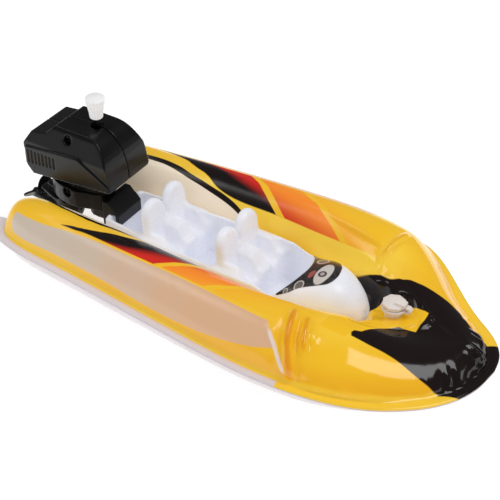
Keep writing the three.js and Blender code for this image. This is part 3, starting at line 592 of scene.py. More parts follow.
def printed_film():
    """Glossy printed film. It is clear along the welded rim, has shade painted darker orange into its
    folds, and glows a little by emission as painted light.
    """
    made = Material("printed_film")
    u, v = made.uv("print")
    along = u * UV_LENGTH
    up = ((v - 0.5) * UV_GIRTH).math("ABSOLUTE") - FLANGE_BAND
    plan_x, plan_y = made.uv("plan")
    x = (plan_x - 0.5) * PLAN_SPAN
    y = (plan_y - 0.5) * PLAN_SPAN

    colour = yellow_ground(made, along, up)
    colour = side_panel(made, colour, along, up)
    colour = flames(colour, along, up)
    colour = cream_field(colour, along, up, x)
    colour = bow_field(colour, x, y)
    # painted shade: the folds are tinted darker orange by their depth, standing in for the shade inside
    # each crease
    fold = made.node("ShaderNodeAttribute")
    fold.attribute_name = "fold"
    crease_shade = step(Value(made.tree, fold.outputs["Fac"]), 0.3, 2.2)
    colour = blend(colour, CREASE_SHADE, crease_shade * 0.75)
    rim = both(1 - step(up, -0.5, -0.1), 1 - step(along, CLEAR_RIM_END, CLEAR_RIM_END + 1))
    colour = blend(colour, CLEAR, rim)

    fine = made.noise(2500, 2.0)
    gloss = made.noise(180, 3.0)
    shiny = step(along, 138, 165)
    # emission in the film's own colour is painted light: the shaded sides glow as if lit by light coming
    # through the thin film
    made.set(Base_Color=colour, Roughness=gloss * 0.08 + 0.2 - shiny * 0.13,
             Specular_IOR_Level=0.55, Alpha=1 - rim * 0.35,
             Emission_Color=colour, Emission_Strength=0.14)
    relief = made.bump(fine, 0.05, 0.02)
    made.bump(gloss, 0.2, 0.1, relief)
    return made.material


def clear_film():
    made = Material("clear_film")
    cloud = made.noise(60, 3.0)
    # painted light: emission makes the clear film glow a little in its own colour
    made.set(Base_Color=blend(rgb(240, 234, 236), rgb(226, 219, 222), cloud),
             Roughness=cloud * 0.2 + 0.12, Alpha=0.8,
             Emission_Color=rgb(240, 234, 236), Emission_Strength=0.07)
    made.bump(cloud, 0.3, 0.15)
    return made.material


# ------------ hull outlines

OUTER = [(-101.8, 26), (-100.4, 31.2), (-96, 35.6), (-84, 39.4), (-60, 42.4), (-15, 47), (25, 50.2),
         (48, 49.4), (64, 46), (78, 39.8), (90, 30.6), (98, 20.6), (102, 11), (103.4, 0)]
INNER = [(-101.8, 26), (-100.4, 20.4), (-96, 16.5), (-84, 14.3), (-60, 14.8), (-15, 17.2), (15, 17.6),
         (30, 16.8), (40, 14.6), (48, 10.6), (53, 6.2), (56, 0), (62, 0), (88, 0)]
seam_height = through([(-107.5, 15), (-60, 17), (0, 16.5), (50, 15.5), (80, 14.4), (95, 13.4),
                       (107.5, 12.8)])
top_height = through([(-102, 16), (-100.6, 23.4), (-96, 28.6), (-85, 31.8), (-60, 33.4), (0, 34.4),
                      (40, 34), (60, 31.6), (75, 28.4), (88, 25.4), (97, 23.6), (103.4, 22.6)])
deck_height = through([(50, 16), (56, 18.4), (61, 20.4), (65, 21.3), (72, 22.3), (80, 22.8), (88, 22.6)])
bottom_height = through([(-102, 14), (-100, 6), (-95, 1.6), (-88, 0.4), (-60, 0.4), (60, 0.4),
                         (80, 1.2), (95, 4.6), (103.4, 12.4)])
rim_width = through([(0, 5.8), (10, 4), (24, 3.5), (160, 3.4), (190, 4.2), (260, 4.2), (290, 4.1)])
STATIONS = 232
GIRTH_STEPS = 54
RIM_STEPS = 3
FLANGE_BAND = 10
CLEAR_RIM_END = 153
WELD_Z = 1.3
WELD_ABOVE_BOTTOM = 0.9
FILM_MM = 0.3
RIM_GAP = 0.2
FLOOR_FROM_X = -65
OPENING_SPLIT_X = 36
TUBE_TURN = math.radians(250)
PORT_SLIM = 0.41


def hull_stations():
    """Outer seam points, the inner weld points paired with them, and the length along the seam."""
    outer, along = even_curve(OUTER, STATIONS)
    line, length = even_curve(INNER, 4000)
    tubes = line[:, 0] <= 50
    inner = np.zeros_like(outer)
    last = int(np.searchsorted(outer[:, 0], OPENING_SPLIT_X))
    inner[:last + 1, 0] = outer[:last + 1, 0]
    inner[:last + 1, 1] = np.interp(outer[:last + 1, 0], line[tubes, 0], line[tubes, 1])
    start = np.interp(inner[last, 0], line[tubes, 0], length[tubes])
    walk = np.linspace(start, length[-1], STATIONS - last)
    inner[last:, 0] = np.interp(walk, length, line[:, 0])
    inner[last:, 1] = np.interp(walk, length, line[:, 1])
    return outer, inner, along


def outward(outer):
    """Unit plan normals of the outer seam, pointing straight ahead at the bow."""
    tangent = np.gradient(outer, axis=0)
    normal = np.c_[-tangent[:, 1], tangent[:, 0]]
    normal /= np.linalg.norm(normal, axis=1)[:, None]
    normal[-1] = (1, 0)
    return normal


def narrowed(outer, side):
    """The port bow is a little slimmer than the starboard bow, as the film was welded."""
    if side < 0:
        return outer
    slim = PORT_SLIM * smooth(50, 92, outer[:, 0])
    return outer * np.c_[np.ones(len(outer)), 1 - slim]


def weld_height(x):
    """The upper film's lower edge, which climbs round the stern to meet the lower film."""
    return np.maximum(WELD_Z, bottom_height(x) + WELD_ABOVE_BOTTOM)


def between(start, end, shares):
    """For each pair of points, a row of points at these shares of the way from one to the other."""
    return start[:, None, :] + (end - start)[:, None, :] * shares[None, :, None]


def upper_half(side):
    """Rows of points over one side of the upper film: its rim, then from the seam over the tube."""
    outer, inner, along = hull_stations()
    outer = narrowed(outer, side)
    angle = np.linspace(0, TUBE_TURN, GIRTH_STEPS + 1)
    middle = (outer + inner) / 2
    seam = seam_height(outer[:, 0])[:, None]
    top = top_height(outer[:, 0])[:, None]
    drop = seam - np.minimum(weld_height(outer[:, 0])[:, None], seam)
    gap = np.maximum(np.linalg.norm(outer - inner, axis=1), 1e-6)
    toward = (outer - inner) / gap[:, None]
    tuck = np.minimum(4, gap / 8)
    past = angle > math.pi
    below = np.clip((angle - math.pi) / (angle[-1] - math.pi), 0, 1) * math.pi / 2
    plan = between(middle, outer, np.where(past, -1, np.cos(angle)))
    plan = plan + toward[:, None, :] * (tuck[:, None] * (1 - np.cos(below)))[..., None]
    height = np.where(past, seam - drop * np.sin(below), seam + (top - seam) * np.sin(angle))
    # on the foredeck the film runs in to the centreline instead of down to the weld
    share = np.clip((angle - math.pi / 2) / (angle[-1] - math.pi / 2), 0, 1)
    deck_plan = between(middle, inner, share)
    valley = deck_height(inner[:, 0])[:, None]
    deck_z = valley + (top - valley) * (0.5 + 0.5 * np.cos(math.pi * share))
    deck = np.where(inner[:, 1] < 9, smooth(50.5, 56, inner[:, 0]), 0)[:, None]
    deck = deck * (angle > math.pi / 2)
    plan = plan * (1 - deck[..., None]) + deck_plan * deck[..., None]
    height = height * (1 - deck) + deck_z * deck
    points = np.dstack([plan, height])
    return with_rim(points, outer, along, side, RIM_GAP)


def with_rim(points, outer, along, side, lift):
    """Adds the welded rim outside the seam, and gives each point its place along and up the film."""
    normal = outward(outer)
    width = rim_width(along)
    up = np.zeros(points.shape[:2])
    up[:, 1:] = np.cumsum(np.linalg.norm(np.diff(points, axis=1), axis=2), axis=1)
    shares = np.linspace(1, 0, RIM_STEPS + 1)[:-1]
    rim = outer[:, None, :] + normal[:, None, :] * (width[:, None] * shares)[..., None]
    height = np.repeat(seam_height(outer[:, 0])[:, None] + lift, RIM_STEPS, axis=1)
    rows = np.concatenate([np.dstack([rim, height]), points], axis=1)
    ups = np.concatenate([-width[:, None] * shares, up], axis=1)
    rows[..., 1] *= side
    return rows, np.repeat(along[:, None], rows.shape[1], axis=1), ups


def lower_half(side):
    """Rows of points under one side: the rim, round the bottom of the tube, then the floor."""
    outer, inner, along = hull_stations()
    outer = narrowed(outer, side)
    middle = (outer + inner) / 2
    seam = seam_height(outer[:, 0])[:, None] - RIM_GAP
    bottom = np.minimum(bottom_height(outer[:, 0])[:, None], seam)
    angle = np.linspace(0, math.pi / 2, 15)
    side_plan = between(middle, outer, np.cos(angle))
    side_z = seam - (seam - bottom) * np.sin(angle)
    flat = np.linspace(0, 1, 7)[1:]
    flat_plan = between(middle, inner, flat)
    floor = np.linspace(0, 1, 9)[1:]
    floored = (outer[:, 0] > FLOOR_FROM_X).astype(float)
    centre = inner * np.c_[np.ones(len(inner)), 1 - floored]
    plan = np.concatenate([side_plan, flat_plan, between(inner, centre, floor)], axis=1)
    height = np.concatenate([side_z, np.repeat(bottom, len(flat) + len(floor), axis=1)], axis=1)
    return with_rim(np.dstack([plan, height]), outer, along, side, -RIM_GAP)


def film_piece(name, half, material, facing):
    """Both sides of a film as one surface. The print's places go in the UV map named print."""
    points, faces, uvs, plans = [], [], [], []
    for side in (1, -1):
        rows, along, up = half(side)
        quads = grid_faces(*rows.shape[:2], start=sum(len(p) for p in points))
        points.append(rows.reshape(-1, 3))
        faces.append(quads if side * facing > 0 else quads[:, ::-1])
        spot = 0.5 + side * (up + FLANGE_BAND) / UV_GIRTH
        uvs.append(np.c_[(along / UV_LENGTH).ravel(), spot.ravel()])
        plans.append(rows[..., :2].reshape(-1, 2) / PLAN_SPAN + 0.5)
    piece = new_piece(name, np.concatenate(points), np.concatenate(faces), material)
    set_uv(piece.data, "print", np.concatenate(uvs))
    set_uv(piece.data, "plan", np.concatenate(plans))
    weld(piece.data)
    return piece


# ------------ inflating the film

SIM_SCALE = 10
SIM_FRAMES = 24
SIM_CAP_MM = 1.6
SIM_VALVE_HELD = 9.5
SIM_INWARD_LEFT_OUT = 0.85


def film_places(mesh):
    """For each vertex: its place along the seam, up the side, and the side, from the UV map."""
    uv = np.empty(len(mesh.loops) * 2)
    mesh.uv_layers["print"].data.foreach_get("uv", uv)
    spot = np.zeros((len(mesh.vertices), 2))
    spot[corner_vertices(mesh)] = uv.reshape(-1, 2)
    along = spot[:, 0] * UV_LENGTH
    signed = (spot[:, 1] - 0.5) * UV_GIRTH
    return along, np.abs(signed) - FLANGE_BAND, np.sign(signed)


def inflate(piece):
    """Cloth simulation of the film under air pressure, held along its welds."""
    mesh = piece.data
    rest = vectors(mesh, "co")
    rest_normals = vectors(mesh, "normal")
    along, up, _ = film_places(mesh)
    held = (up <= 0.01) | (rest[:, 2] < (weld_height(rest[:, 0] / MM) + 0.6) * MM)
    held |= np.hypot(rest[:, 0] - VALVE_X * MM, rest[:, 1]) < SIM_VALVE_HELD * MM
    mesh.vertices.foreach_set("co", (rest * SIM_SCALE).ravel())
    group = piece.vertex_groups.new(name="held")
    group.add(np.flatnonzero(held).tolist(), 1.0, "REPLACE")
    slack = piece.vertex_groups.new(name="slack")
    weight = np.exp(-np.maximum(up, 0) / 6) * (0.35 + 0.65 * smooth(150, 185, along))
    for i, w in enumerate(weight):
        if w > 0.02:
            slack.add([i], float(w), "REPLACE")
    cloth = piece.modifiers.new("air", "CLOTH")
    settings = cloth.settings
    settings.quality = 5
    settings.mass = 0.4
    settings.tension_stiffness = 30
    settings.compression_stiffness = 20
    settings.shear_stiffness = 10
    settings.bending_stiffness = 3.0
    settings.use_pressure = True
    settings.uniform_pressure_force = 4.0
    settings.vertex_group_mass = "held"
    settings.vertex_group_shrink = "slack"
    settings.shrink_min = 0.0
    settings.shrink_max = -0.06
    settings.effector_weights.gravity = 0
    cloth.point_cache.frame_start = 1
    cloth.point_cache.frame_end = SIM_FRAMES
    for number in range(1, SIM_FRAMES + 1):
        bpy.context.scene.frame_set(number)
    graph = bpy.context.evaluated_depsgraph_get()
    moved = vectors(piece.evaluated_get(graph).data, "co") / SIM_SCALE
    piece.modifiers.remove(cloth)
    bpy.context.scene.frame_set(1)
    shift = moved - rest
    # the film only swells: most of any inward part of its motion is left out
    outward_part = (shift * rest_normals).sum(axis=1)
    shift -= rest_normals * (SIM_INWARD_LEFT_OUT * np.minimum(outward_part, 0))[:, None]
    size = np.linalg.norm(shift, axis=1)
    cap = SIM_CAP_MM * MM
    shift *= (cap * np.tanh(size / cap) / np.maximum(size, 1e-9))[:, None]
    mesh.vertices.foreach_set("co", (rest + shift).ravel())
    piece.vertex_groups.clear()
    mesh.update()


# Folds in the film: side, start (along, up), end (along, up), half width, depth, all millimetres.
FOLDS = [
    (-1, (149.8, 29.5), (157.9, 3.8), 1.5, 2.7), (-1, (157.3, 28.5), (160.8, 14.6), 1.2, 2.2),
    (-1, (161, 22.6), (163.6, 20.4), 1.6, 1.3), (-1, (143.6, 21), (155.4, 3.2), 0.9, 0.5),
    (1, (164.3, 39), (163.6, 20.6), 1.2, 1.5), (1, (168.6, 38), (167.2, 23), 1.0, 0.7),
    (1, (170, 33), (177, 26), 1.2, 0.5),
    (-1, (55, 2), (57, 14), 1.0, 0.12), (-1, (98, 5), (100, 19), 1.0, 0.15)]
# Puffed places between folds: side, middle (along, up), half sizes, height.
PUFFS = [(-1, (149.6, 16.5), (2.2, 8), 1.1), (-1, (156.2, 19), (2.0, 8), 1.3),
         (-1, (170, 20), (7, 8), 0.7), (1, (166.4, 29), (1.6, 7), 0.7), (1, (176, 27), (7, 7), 0.5)]
# The creases and their painted shade end here along the seam, and the bow's puckers take over.
FOLDS_END = 195
# The deck round the valve: the radii of its hole, its flat and the flat's edge, and the height.
VALVE_HOLE = 2.7
VALVE_FLAT = 5.6
VALVE_FLAT_END = 9
VALVE_FLAT_Z = 22.3


def fold_depth(along, up, side):
    """How far the folds and the puckers at the weld push the film inwards."""
    depth = np.zeros(len(along))
    for which, (u0, v0), (u1, v1), width, deep in FOLDS:
        du, dv = u1 - u0, v1 - v0
        t = ((along - u0) * du + (up - v0) * dv) / (du * du + dv * dv)
        off = np.hypot(along - u0 - np.clip(t, 0, 1) * du, up - v0 - np.clip(t, 0, 1) * dv)
        fade = smooth(-0.25, 0.2, t) * (1 - smooth(0.8, 1.25, t))
        ridge = 0.2 * np.exp(-((off - 2.2 * width) / (1.2 * width)) ** 2)
        depth += (side == which) * deep * fade * (np.exp(-(off / width) ** 2) - ridge)
    for which, (u0, v0), (half_u, half_v), height in PUFFS:
        puff = np.exp(-((along - u0) / half_u) ** 2 - ((up - v0) / half_v) ** 2)
        depth -= (side == which) * height * puff
    wander = along + 3.1 * np.sin(along * 0.21 + side) + 1.3 * np.sin(along * 0.57)
    ripple = np.sin(wander * 0.62) * np.exp(-np.maximum(up, 0) / 4.5) * smooth(0.3, 3, up)
    depth += ripple * (0.06 + 0.22 * smooth(165, 190, along))
    tip = smooth(200, 222, along) * np.exp(-((up - 5) / 4) ** 2)
    depth += 0.7 * tip * np.sin(along * 0.9 + 1.5 * np.sin(along * 0.4))
    return depth * (up > 0)


def crease(piece):
    """Presses the folds into the film, flattens it at the valve and notes how deep each fold is, for the
    shade painted into the creases.
    """
    mesh = piece.data
    along, up, side = film_places(mesh)
    depth = fold_depth(along, up, side)
    inward = vectors(mesh, "normal") * (depth * MM)[:, None]
    places = (vectors(mesh, "co") - inward) / MM
    # round the valve the deck lies flat, low enough for the cap to be pressed in
    from_valve = np.hypot(places[:, 0] - VALVE_X, places[:, 1])
    flat = 1 - smooth(VALVE_FLAT, VALVE_FLAT_END, from_valve)
    places[:, 2] -= np.maximum(places[:, 2] - VALVE_FLAT_Z, 0) * flat
    mesh.vertices.foreach_set("co", (places * MM).ravel())
    fold = mesh.attributes.new("fold", "FLOAT", "POINT")
    fold.data.foreach_set("value", np.where(along < FOLDS_END, depth, 0))
    mesh.update()


def open_at_valve(piece):
    """Takes out the film inside the valve stem, where the cap's plug goes."""
    net = bmesh.new()
    net.from_mesh(piece.data)
    inside = [v for v in net.verts if math.hypot(v.co.x - VALVE_X * MM, v.co.y) < VALVE_HOLE * MM]
    bmesh.ops.delete(net, geom=inside, context="VERTS")
    net.to_mesh(piece.data)
    net.free()


def build_hull():
    upper = film_piece("upper_film", upper_half, printed_film(), 1)
    inflate(upper)
    crease(upper)
    open_at_valve(upper)
    film(upper, FILM_MM)
    ride(upper, "hull", "hull_upper_skin")
    lower = film_piece("lower_film", lower_half, clear_film(), -1)
    film(lower, FILM_MM)
    ride(lower, "hull", "hull_lower_skin")


# ------------ cockpit tub

tub_half_width = through([(-62.5, 12.4), (-45, 13.6), (-15, 15.7), (15, 16.2), (30, 15.3), (40, 13),
                          (48, 9), (53, 4.6), (54.8, 0.6)])
tub_top = through([(-62.5, 24), (12, 24), (20, 24.6), (28, 27), (36, 29.4), (43, 28.4), (49, 24.6),
                   (53, 19.4), (54.8, 14)])
TUB_STEP = 0.55
TUB_WALL = 1.5
TUB_FLOOR = TUB_LOW[2] + TUB_WALL
SEAT_TOP = TUB_HIGH[2]
SEAT_ROWS = (-41.7, -6.1)
SEAT_OFFSET = 7.2
SEAT_HALF = 6.3
SEAT_LEAN = 3.6
SEAT_BACK = 4.4
ARM_TOP = 25.6
CUSHION_TOP = 18.6
CUSHION_LONG = 15
TRANSOM_TOP = 22
TRANSOM_HALF = 9
LIP_AT = 27.4
LIP_DROP = 6.2
LIP_HALF = 14.4
EDGE_DROP = 1.2
NOSE_FROM_X = 12
NOSE_SHOULDER_Z = 14
CROWN_POWER = 2.5
ARM_OFFSET = 4.9
ARM_HALF = 1.7
BRIDGE_HALF = 2.2
BRIDGE_TOP = 18.5


def shoulder_height(x):
    """Where the tub's side turns in to its top: at the edge aft, and low down on the nose."""
    edge = tub_top(x) - EDGE_DROP
    return edge + (NOSE_SHOULDER_Z - edge) * np.clip((x - NOSE_FROM_X) / 14, 0, 1)


def tub_outside(x, y, z, shrink):
    """Below zero inside the tub's outer form, shrunk by a wall."""
    wide = np.maximum(tub_half_width(x) - shrink, 0.3)
    top = tub_top(x) - shrink
    shoulder = np.minimum(shoulder_height(x), top - 1)
    crown = top - shoulder
    lift = np.maximum(z - shoulder, 0) / crown
    across = np.abs(y) / wide
    norm = (across ** CROWN_POWER + lift ** CROWN_POWER) ** (1 / CROWN_POWER)
    body = (norm - 1) * np.minimum(wide, crown + 4)
    keel = TUB_LOW[2] + shrink - z
    ends = np.maximum(TUB_LOW[0] + shrink - x, x - TUB_HIGH[0] + shrink * 0.6)
    return soft_max(soft_max(body, keel, 3.0), ends, 1.2)


def opening_plan(x, y):
    """Below zero inside the cockpit's opening, seen from above."""
    wide = tub_half_width(np.minimum(x, 14)) - TUB_WALL
    front = x - (LIP_AT - LIP_DROP * (y / LIP_HALF) ** 2)
    return soft_max(soft_max(np.abs(y) - wide, front, 3.0), TUB_LOW[0] + 2 - x, 2.0)


def seat(x, y, z, back_x, side_y):
    """One bucket seat: a leaning round-topped back, a dished cushion and two armrests."""
    v = y - side_y
    w = np.clip(z, 6, SEAT_TOP - SEAT_HALF)
    lean = SEAT_LEAN * (1 - (z - 4) / (SEAT_TOP - 4))
    outline = np.hypot(v, z - w) - SEAT_HALF
    back = soft_max(outline, np.abs(x - back_x - lean) - SEAT_BACK / 2, 2.2)
    ahead = x - back_x
    dish = 2.2 * np.clip(np.abs(v) / 4, 0, 1) ** 2
    cushion_top = CUSHION_TOP + dish - 0.12 * ahead
    cushion = soft_max(soft_max(slab(x, back_x, back_x + CUSHION_LONG), np.abs(v) - SEAT_HALF, 2),
                       z - cushion_top, 2.6)
    arm_top = ARM_TOP - 0.1 * np.clip(ahead - 2, 0, 10) - 5 * smooth(9, 13.5, ahead)
    arm = soft_max(slab(x, back_x + 1, back_x + CUSHION_LONG),
                   np.abs(np.abs(v) - ARM_OFFSET) - ARM_HALF, 1.4)
    arm = np.maximum(soft_max(arm, z - arm_top, 1.6), 8 - z)
    return soft_min(soft_min(back, cushion, 2.2), arm, 1.4)


def tub_distance(x, y, z):
    """The tub: a shell with an open cockpit and a lowered transom, its seats and their bridges."""
    outside = tub_outside(x, y, z, 0)
    hollow = soft_max(tub_outside(x, y, z, TUB_WALL), TUB_FLOOR - z, 9.0)
    shell = soft_max(outside, -hollow, 0.8)
    mouth = np.maximum(opening_plan(x, y), TUB_FLOOR + 2 - z)
    shell = soft_max(shell, -mouth, 1.0)
    lowered = np.maximum(np.maximum(x - TUB_LOW[0] - 4, np.abs(y) - TRANSOM_HALF), TRANSOM_TOP - z)
    shell = soft_max(shell, -lowered, 0.8)
    solid = shell
    for back_x in SEAT_ROWS:
        for side_y in (SEAT_OFFSET, -SEAT_OFFSET):
            solid = soft_min(solid, seat(x, y, z, back_x, side_y), 3.5)
        bridge = soft_max(slab(x, back_x - 1.5, back_x + 14), np.abs(y) - BRIDGE_HALF, 1.0)
        bridge = soft_max(bridge, z - BRIDGE_TOP, 1.5)
        solid = soft_min(solid, bridge, 2.0)
    return np.maximum(solid, TUB_LOW[2] - z)


def nose_height(x, y, lift):
    """Height of the tub's top surface, raised by lift."""
    wide = tub_half_width(x) + lift
    top = tub_top(x) + lift
    shoulder = np.minimum(shoulder_height(x), tub_top(x) - 1)
    part = np.clip(1 - (np.abs(y) / wide) ** CROWN_POWER, 0, 1) ** (1 / CROWN_POWER)
    return shoulder + (top - shoulder) * part


def build_tub(white):
    tub = moulding("cockpit_shell", tub_distance, TUB_LOW, TUB_HIGH, TUB_STEP, white)
    ride(tub, "hull", "cockpit_tub")


# ------------ dashboard sticker

# The sticker's front edge, as (y, x).
DECAL_STARBOARD, DECAL_PORT = -14.4, 13.4
decal_front = through([(DECAL_STARBOARD, 22.5), (-12.2, 26.6), (-10.2, 30), (-8.6, 35), (-5.8, 39.5),
                       (-1, 41), (4.5, 40), (8, 38), (10.6, 34.6), (12.2, 29.6), (DECAL_PORT, 23)])
DECAL_LIFT = 0.18
DECAL_THICK = 0.15
# Its small ringed dials, as (x, y, half length, half width).
SMALL_DIALS = [(30.6, 6.9, 2.2, 2.4), (29.2, -9.4, 1.7, 2.0), (25.4, 11.2, 0.9, 1.1),
               (25, -12.4, 0.8, 1)]
# The ovals of its big dial and lamp, with their colours and where their soft edges start and end.
OVALS = [((35.6, -1.6, 3.0, 6.4), rgb(214, 206, 200), (0.92, 1.04)),
         ((35.4, -2.4, 1.7, 1.8), rgb(74, 68, 68), (0.9, 1.1)),
         ((35.4, -2.4, 0.9, 1.0), rgb(188, 176, 170), (0.85, 1.1)),
         ((31.2, -3.2, 1.3, 2.6), rgb(172, 84, 80), (0.85, 1.0))]


def dash_sticker():
    """Ink of the dashboard sticker: a dark panel with plain round dials, drawn in plan."""
    made = Material("dash_sticker")
    x, y = (metres * (1 / MM) for metres in made.first_two(made.place()))
    grain = made.noise(900, 3.0)
    colour = blend(rgb(58, 54, 55), rgb(36, 33, 34), step(grain, 0.4, 0.65))

    def reach(cx, cy, half_x, half_y):
        """1 on the outline of an oval, less inside it and more outside."""
        squares = ((x - cx) / half_x).math("POWER", 2.0) + ((y - cy) / half_y).math("POWER", 2.0)
        return squares.math("SQRT")

    for oval in SMALL_DIALS:
        radius = reach(*oval)
        colour = blend(colour, rgb(206, 198, 194), 1 - step(radius, 1.05, 1.2))
        colour = blend(colour, rgb(112, 106, 108), 1 - step(radius, 0.8, 0.95))
    for oval, ink, edge in OVALS:
        colour = blend(colour, ink, 1 - step(reach(*oval), *edge))
    made.set(Base_Color=colour, Roughness=grain * 0.1 + 0.28, Coat_Weight=0.4, Coat_Roughness=0.15)
    made.bump(grain, 0.1, 0.02)
    return made.material


def build_decal():
    """A crescent of thin film laid over the nose just ahead of the cockpit's lip."""
    rows, columns = 110, 28
    y = np.linspace(DECAL_STARBOARD, DECAL_PORT, rows)[:, None]
    back = LIP_AT + 0.5 - LIP_DROP * (y / LIP_HALF) ** 2
    front = np.maximum(decal_front(y), back + 0.2)
    across = np.linspace(0, 1, columns)[None, :]
    x = back * (1 - across) + front * across
    y = np.repeat(y, columns, axis=1)
    z = nose_height(x, y, DECAL_LIFT)
    points = np.dstack([x, y, z]).reshape(-1, 3)
    decal = new_piece("dash_sticker", points, grid_faces(rows, columns), dash_sticker())
    film(decal, DECAL_THICK, 1)
    ride(decal, "hull", "dash_decal")


# ------------ moulded and turned pieces

def prepare(piece, material):
    """Gives a CAD mesh its material, and joins its triangles where they share corners."""
    piece.data.materials.clear()
    piece.data.materials.append(material)
    merge = piece.modifiers.new("merge", "WELD")
    merge.merge_threshold = 0.002 * MM


def remoulded(name, node, body, material, step_mm, rounds):
    """A finer copy of a CAD solid: remeshed evenly, with its edges rounded as moulding leaves them."""
    piece = add_object(name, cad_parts[node].data.copy())
    prepare(piece, material)
    even = piece.modifiers.new("even", "REMESH")
    even.mode = "VOXEL"
    even.voxel_size = step_mm * MM
    even.use_smooth_shade = True
    relax(piece, rounds)
    apply_modifiers(piece)
    ride(piece, body, node)


def finish_node(node, material, edge_mm=0.08):
    """A CAD node that is shown as it is, with its edges broken and its own material."""
    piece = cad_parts[node]
    prepare(piece, material)
    piece.data.polygons.foreach_set("use_smooth", [False] * len(piece.data.polygons))
    edge = piece.modifiers.new("edge", "BEVEL")
    edge.width = edge_mm * MM
    edge.segments = 2
    edge.limit_method = "ANGLE"
    edge.angle_limit = math.radians(28)
    edge.use_clamp_overlap = True


KEY_FLUTES = 18
FLUTE_DEPTH = 0.32
KEY_RIM = 1.0


def build_key(white):
    """The winding key: a flared knob with shallow flutes, a rounded rim and a slightly hollow top."""
    low, high = KEY_LOW[2], KEY_HIGH[2]
    radius = through([(low, 2.5), (low + 0.4, 2.75), (low + 2.5, 2.95), (high - 3.6, 3.55),
                      (high - KEY_RIM, 4.05), (high - 0.3, 4.0), (high, 3.6)])
    rows, rim_rows, around = 60, 12, 144
    rim = high - KEY_RIM + KEY_RIM * np.sin(np.linspace(0.1, math.pi / 2, rim_rows))
    z = np.concatenate([np.linspace(low, high - KEY_RIM, rows - rim_rows), rim])
    turn = np.linspace(0, 2 * math.pi, around, endpoint=False)
    flute = smooth(low + 0.2, low + 1, z) * (1 - smooth(high - 1.6, high - 0.8, z))
    groove = 0.5 + 0.5 * np.cos(turn * KEY_FLUTES)
    r = radius(z)[:, None] - FLUTE_DEPTH * flute[:, None] * groove[None, :] ** 2
    heights = np.repeat(z[:, None], around, axis=1)
    points = np.dstack([KEY_X + r * np.cos(turn), r * np.sin(turn), heights]).reshape(-1, 3)
    ends = [[KEY_X, 0, low], [KEY_X, 0, high - 0.35]]
    foot, crown = len(points), len(points) + 1
    spot = np.arange(foot).reshape(rows, around)
    beside = np.roll(spot, -1, axis=1)
    sides = np.stack([spot[:-1], beside[:-1], beside[1:], spot[1:]], axis=-1).reshape(-1, 4)
    under = np.c_[beside[0], spot[0], np.full(around, foot)]
    over_top = np.c_[spot[-1], beside[-1], np.full(around, crown)]
    faces = [*sides, *under, *over_top]
    key = new_piece("key_knob", np.concatenate([points, ends]), faces, white)
    ride(key, "key", "winding_key")


def build_outboard(black, nylon, steel, dark_steel, blued, brass, vinyl, clear):
    remoulded("cowl_shell_port", "cowl_port", "outboard", black, 0.3, 5)
    remoulded("cowl_shell_starboard", "cowl_starboard", "outboard", black, 0.3, 5)
    remoulded("leg_half_port", "leg_port", "outboard", black, 0.3, 3)
    remoulded("leg_half_starboard", "leg_starboard", "outboard", black, 0.3, 3)
    remoulded("clamp_saddle", "transom_clamp", "motor_bracket", black, 0.25, 4)
    remoulded("propeller_wheel", "propeller", "propeller", black, 0.16, 3)
    remoulded("valve_tube", "valve_stem", "valve", vinyl, 0.14, 3)
    remoulded("valve_cap_plug", "valve_plug", "valve_cap", vinyl, 0.12, 2)
    remoulded("valve_cap_strap", "valve_tether", "valve_cap", vinyl, 0.14, 4)
    finish_node("valve_flap", clear)
    for node in ("steering_pin", "motor_pillar_port", "motor_pillar_starboard", "motor_pillar_aft",
                 "second_arbor", "third_arbor", "drive_shaft", "propeller_shaft"):
        finish_node(node, steel)
    for node in ("leg_screw_upper", "leg_screw_lower", "cowl_screw", "winding_arbor"):
        finish_node(node, dark_steel)
    for node in ("motor_plate_lower", "motor_plate_upper", "great_wheel", "second_wheel", "third_wheel",
                 "drive_pinion"):
        finish_node(node, nylon)
    for node in ("bevel_pinion", "crown_gear", "stern_bush"):
        finish_node(node, brass, 0.05)
    finish_node("mainspring", blued, 0.05)


# ------------ floor, light and camera

CAMERA_TURN = math.radians(32.6)
CAMERA_RISE = math.radians(37.7)
CAMERA_LENS = 93.6
CAMERA_SENSOR = 36
CAMERA_DISTANCE = 0.5156
CAMERA_TARGET = Vector((0.001, 0, 0.0251))


def softbox(name, toward, distance, size, radiance):
    """A rectangular light that faces the boat from a direction, with its brightness per area set."""
    light = bpy.data.lights.new(name, "AREA")
    light.shape = "RECTANGLE"
    light.size, light.size_y = size
    light.energy = radiance * size[0] * size[1] * math.pi
    lamp = add_object(name, light)
    direction = Vector(toward).normalized()
    lamp.location = direction * distance
    lamp.rotation_euler = direction.to_track_quat("Z", "Y").to_euler()


def studio_world(seen, mirrored, around):
    """White surroundings with one brightness for the camera, one in reflections and one as light."""
    world = bpy.data.worlds.new("studio")
    world.use_nodes = True
    tree = world.node_tree
    path = tree.nodes.new("ShaderNodeLightPath")
    camera = Value(tree, path.outputs["Is Camera Ray"])
    glossy = Value(tree, path.outputs["Is Glossy Ray"])
    other = (1 - camera) * (1 - glossy)
    background = tree.nodes["Background"]
    background.inputs["Color"].default_value = (1, 1, 1, 1)
    plug(tree, camera * seen + glossy * mirrored + other * around, background.inputs["Strength"])
    bpy.context.scene.world = world


def studio_floor():
    """A white floor that glows a little, as an overlit studio table does."""
    look = Material("studio_floor")
    haze = look.noise(4, 2.0)
    look.set(Base_Color=(0.6, 0.6, 0.6, 1), Roughness=haze * 0.1 + 0.85, Specular_IOR_Level=0.0,
             Emission_Color=(1, 1, 1, 1), Emission_Strength=0.6)
    half = 3000
    corners = [(-half, -half, 0), (half, -half, 0), (half, half, 0), (-half, half, 0)]
    new_piece("studio_floor", corners, [(0, 1, 2, 3)], look.material)


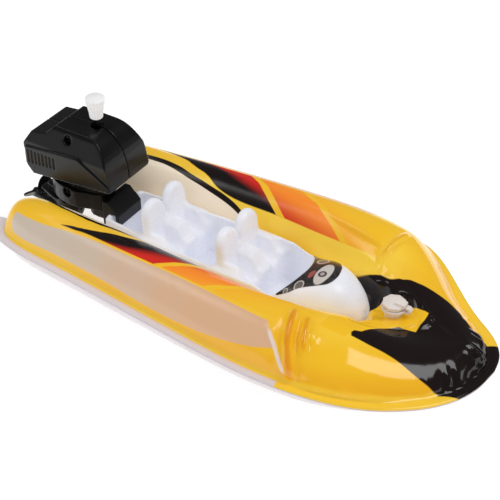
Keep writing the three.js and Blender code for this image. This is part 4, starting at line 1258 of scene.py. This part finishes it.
def build_studio():
    scene = bpy.context.scene
    scene.view_settings.view_transform = "Standard"
    studio_world(seen=1.0, mirrored=0.12, around=0.66)
    studio_floor()
    softbox("key_light", (0.42, 0.16, 0.86), 1.2, (0.62, 0.42), 3.6)
    softbox("left_light", (-0.55, -0.3, 0.8), 1.2, (0.3, 0.5), 2.2)

    camera = bpy.data.cameras.new("camera")
    camera.lens = CAMERA_LENS
    camera.sensor_width = CAMERA_SENSOR
    camera.clip_start, camera.clip_end = 0.01, 20
    holder = add_object("camera", camera)
    back = Vector((math.sin(CAMERA_TURN) * math.cos(CAMERA_RISE),
                   -math.cos(CAMERA_TURN) * math.cos(CAMERA_RISE), math.sin(CAMERA_RISE)))
    holder.location = CAMERA_TARGET + back * CAMERA_DISTANCE
    holder.rotation_mode = "QUATERNION"
    holder.rotation_quaternion = (-back).to_track_quat("-Z", "Y")
    scene.camera = holder


# ------------ the boat

# painted light: the tub's emission makes the white plastic glow, brightening its shaded hollows
white_tub = grained("white_tub", rgb(234, 235, 242), rgb(226, 228, 237), 0.28, 0.1, 1500,
                    Emission_Color=rgb(234, 235, 242), Emission_Strength=0.15)
# painted light: the key glows a little by emission
white_key = grained("white_key", rgb(240, 240, 240), rgb(232, 232, 233), 0.36, 0.12, 1800,
                    Emission_Color=rgb(238, 238, 238), Emission_Strength=0.14)
black_plastic = grained("black_plastic", rgb(14, 14, 15), rgb(8, 8, 9), 0.3, 0.12, 2600,
                        Specular_IOR_Level=0.4)
nylon = grained("nylon", rgb(240, 236, 220), rgb(228, 222, 202), 0.42, 0.14, 2000)
soft_vinyl = grained("soft_vinyl", rgb(240, 230, 224), rgb(228, 217, 210), 0.34, 0.14, 1600)
steel = drawn_metal("steel", rgb(198, 200, 204), rgb(168, 171, 176), 0.2)
black_steel = drawn_metal("black_steel", rgb(52, 52, 56), rgb(34, 34, 38), 0.3)
blued_steel = drawn_metal("blued_steel", rgb(96, 108, 140), rgb(64, 70, 92), 0.24)
brass = drawn_metal("brass", rgb(214, 176, 96), rgb(184, 142, 68), 0.24)

build_studio()
build_hull()
build_tub(white_tub)
build_decal()
build_key(white_key)
build_outboard(black_plastic, nylon, steel, black_steel, blued_steel, brass, soft_vinyl, clear_film())
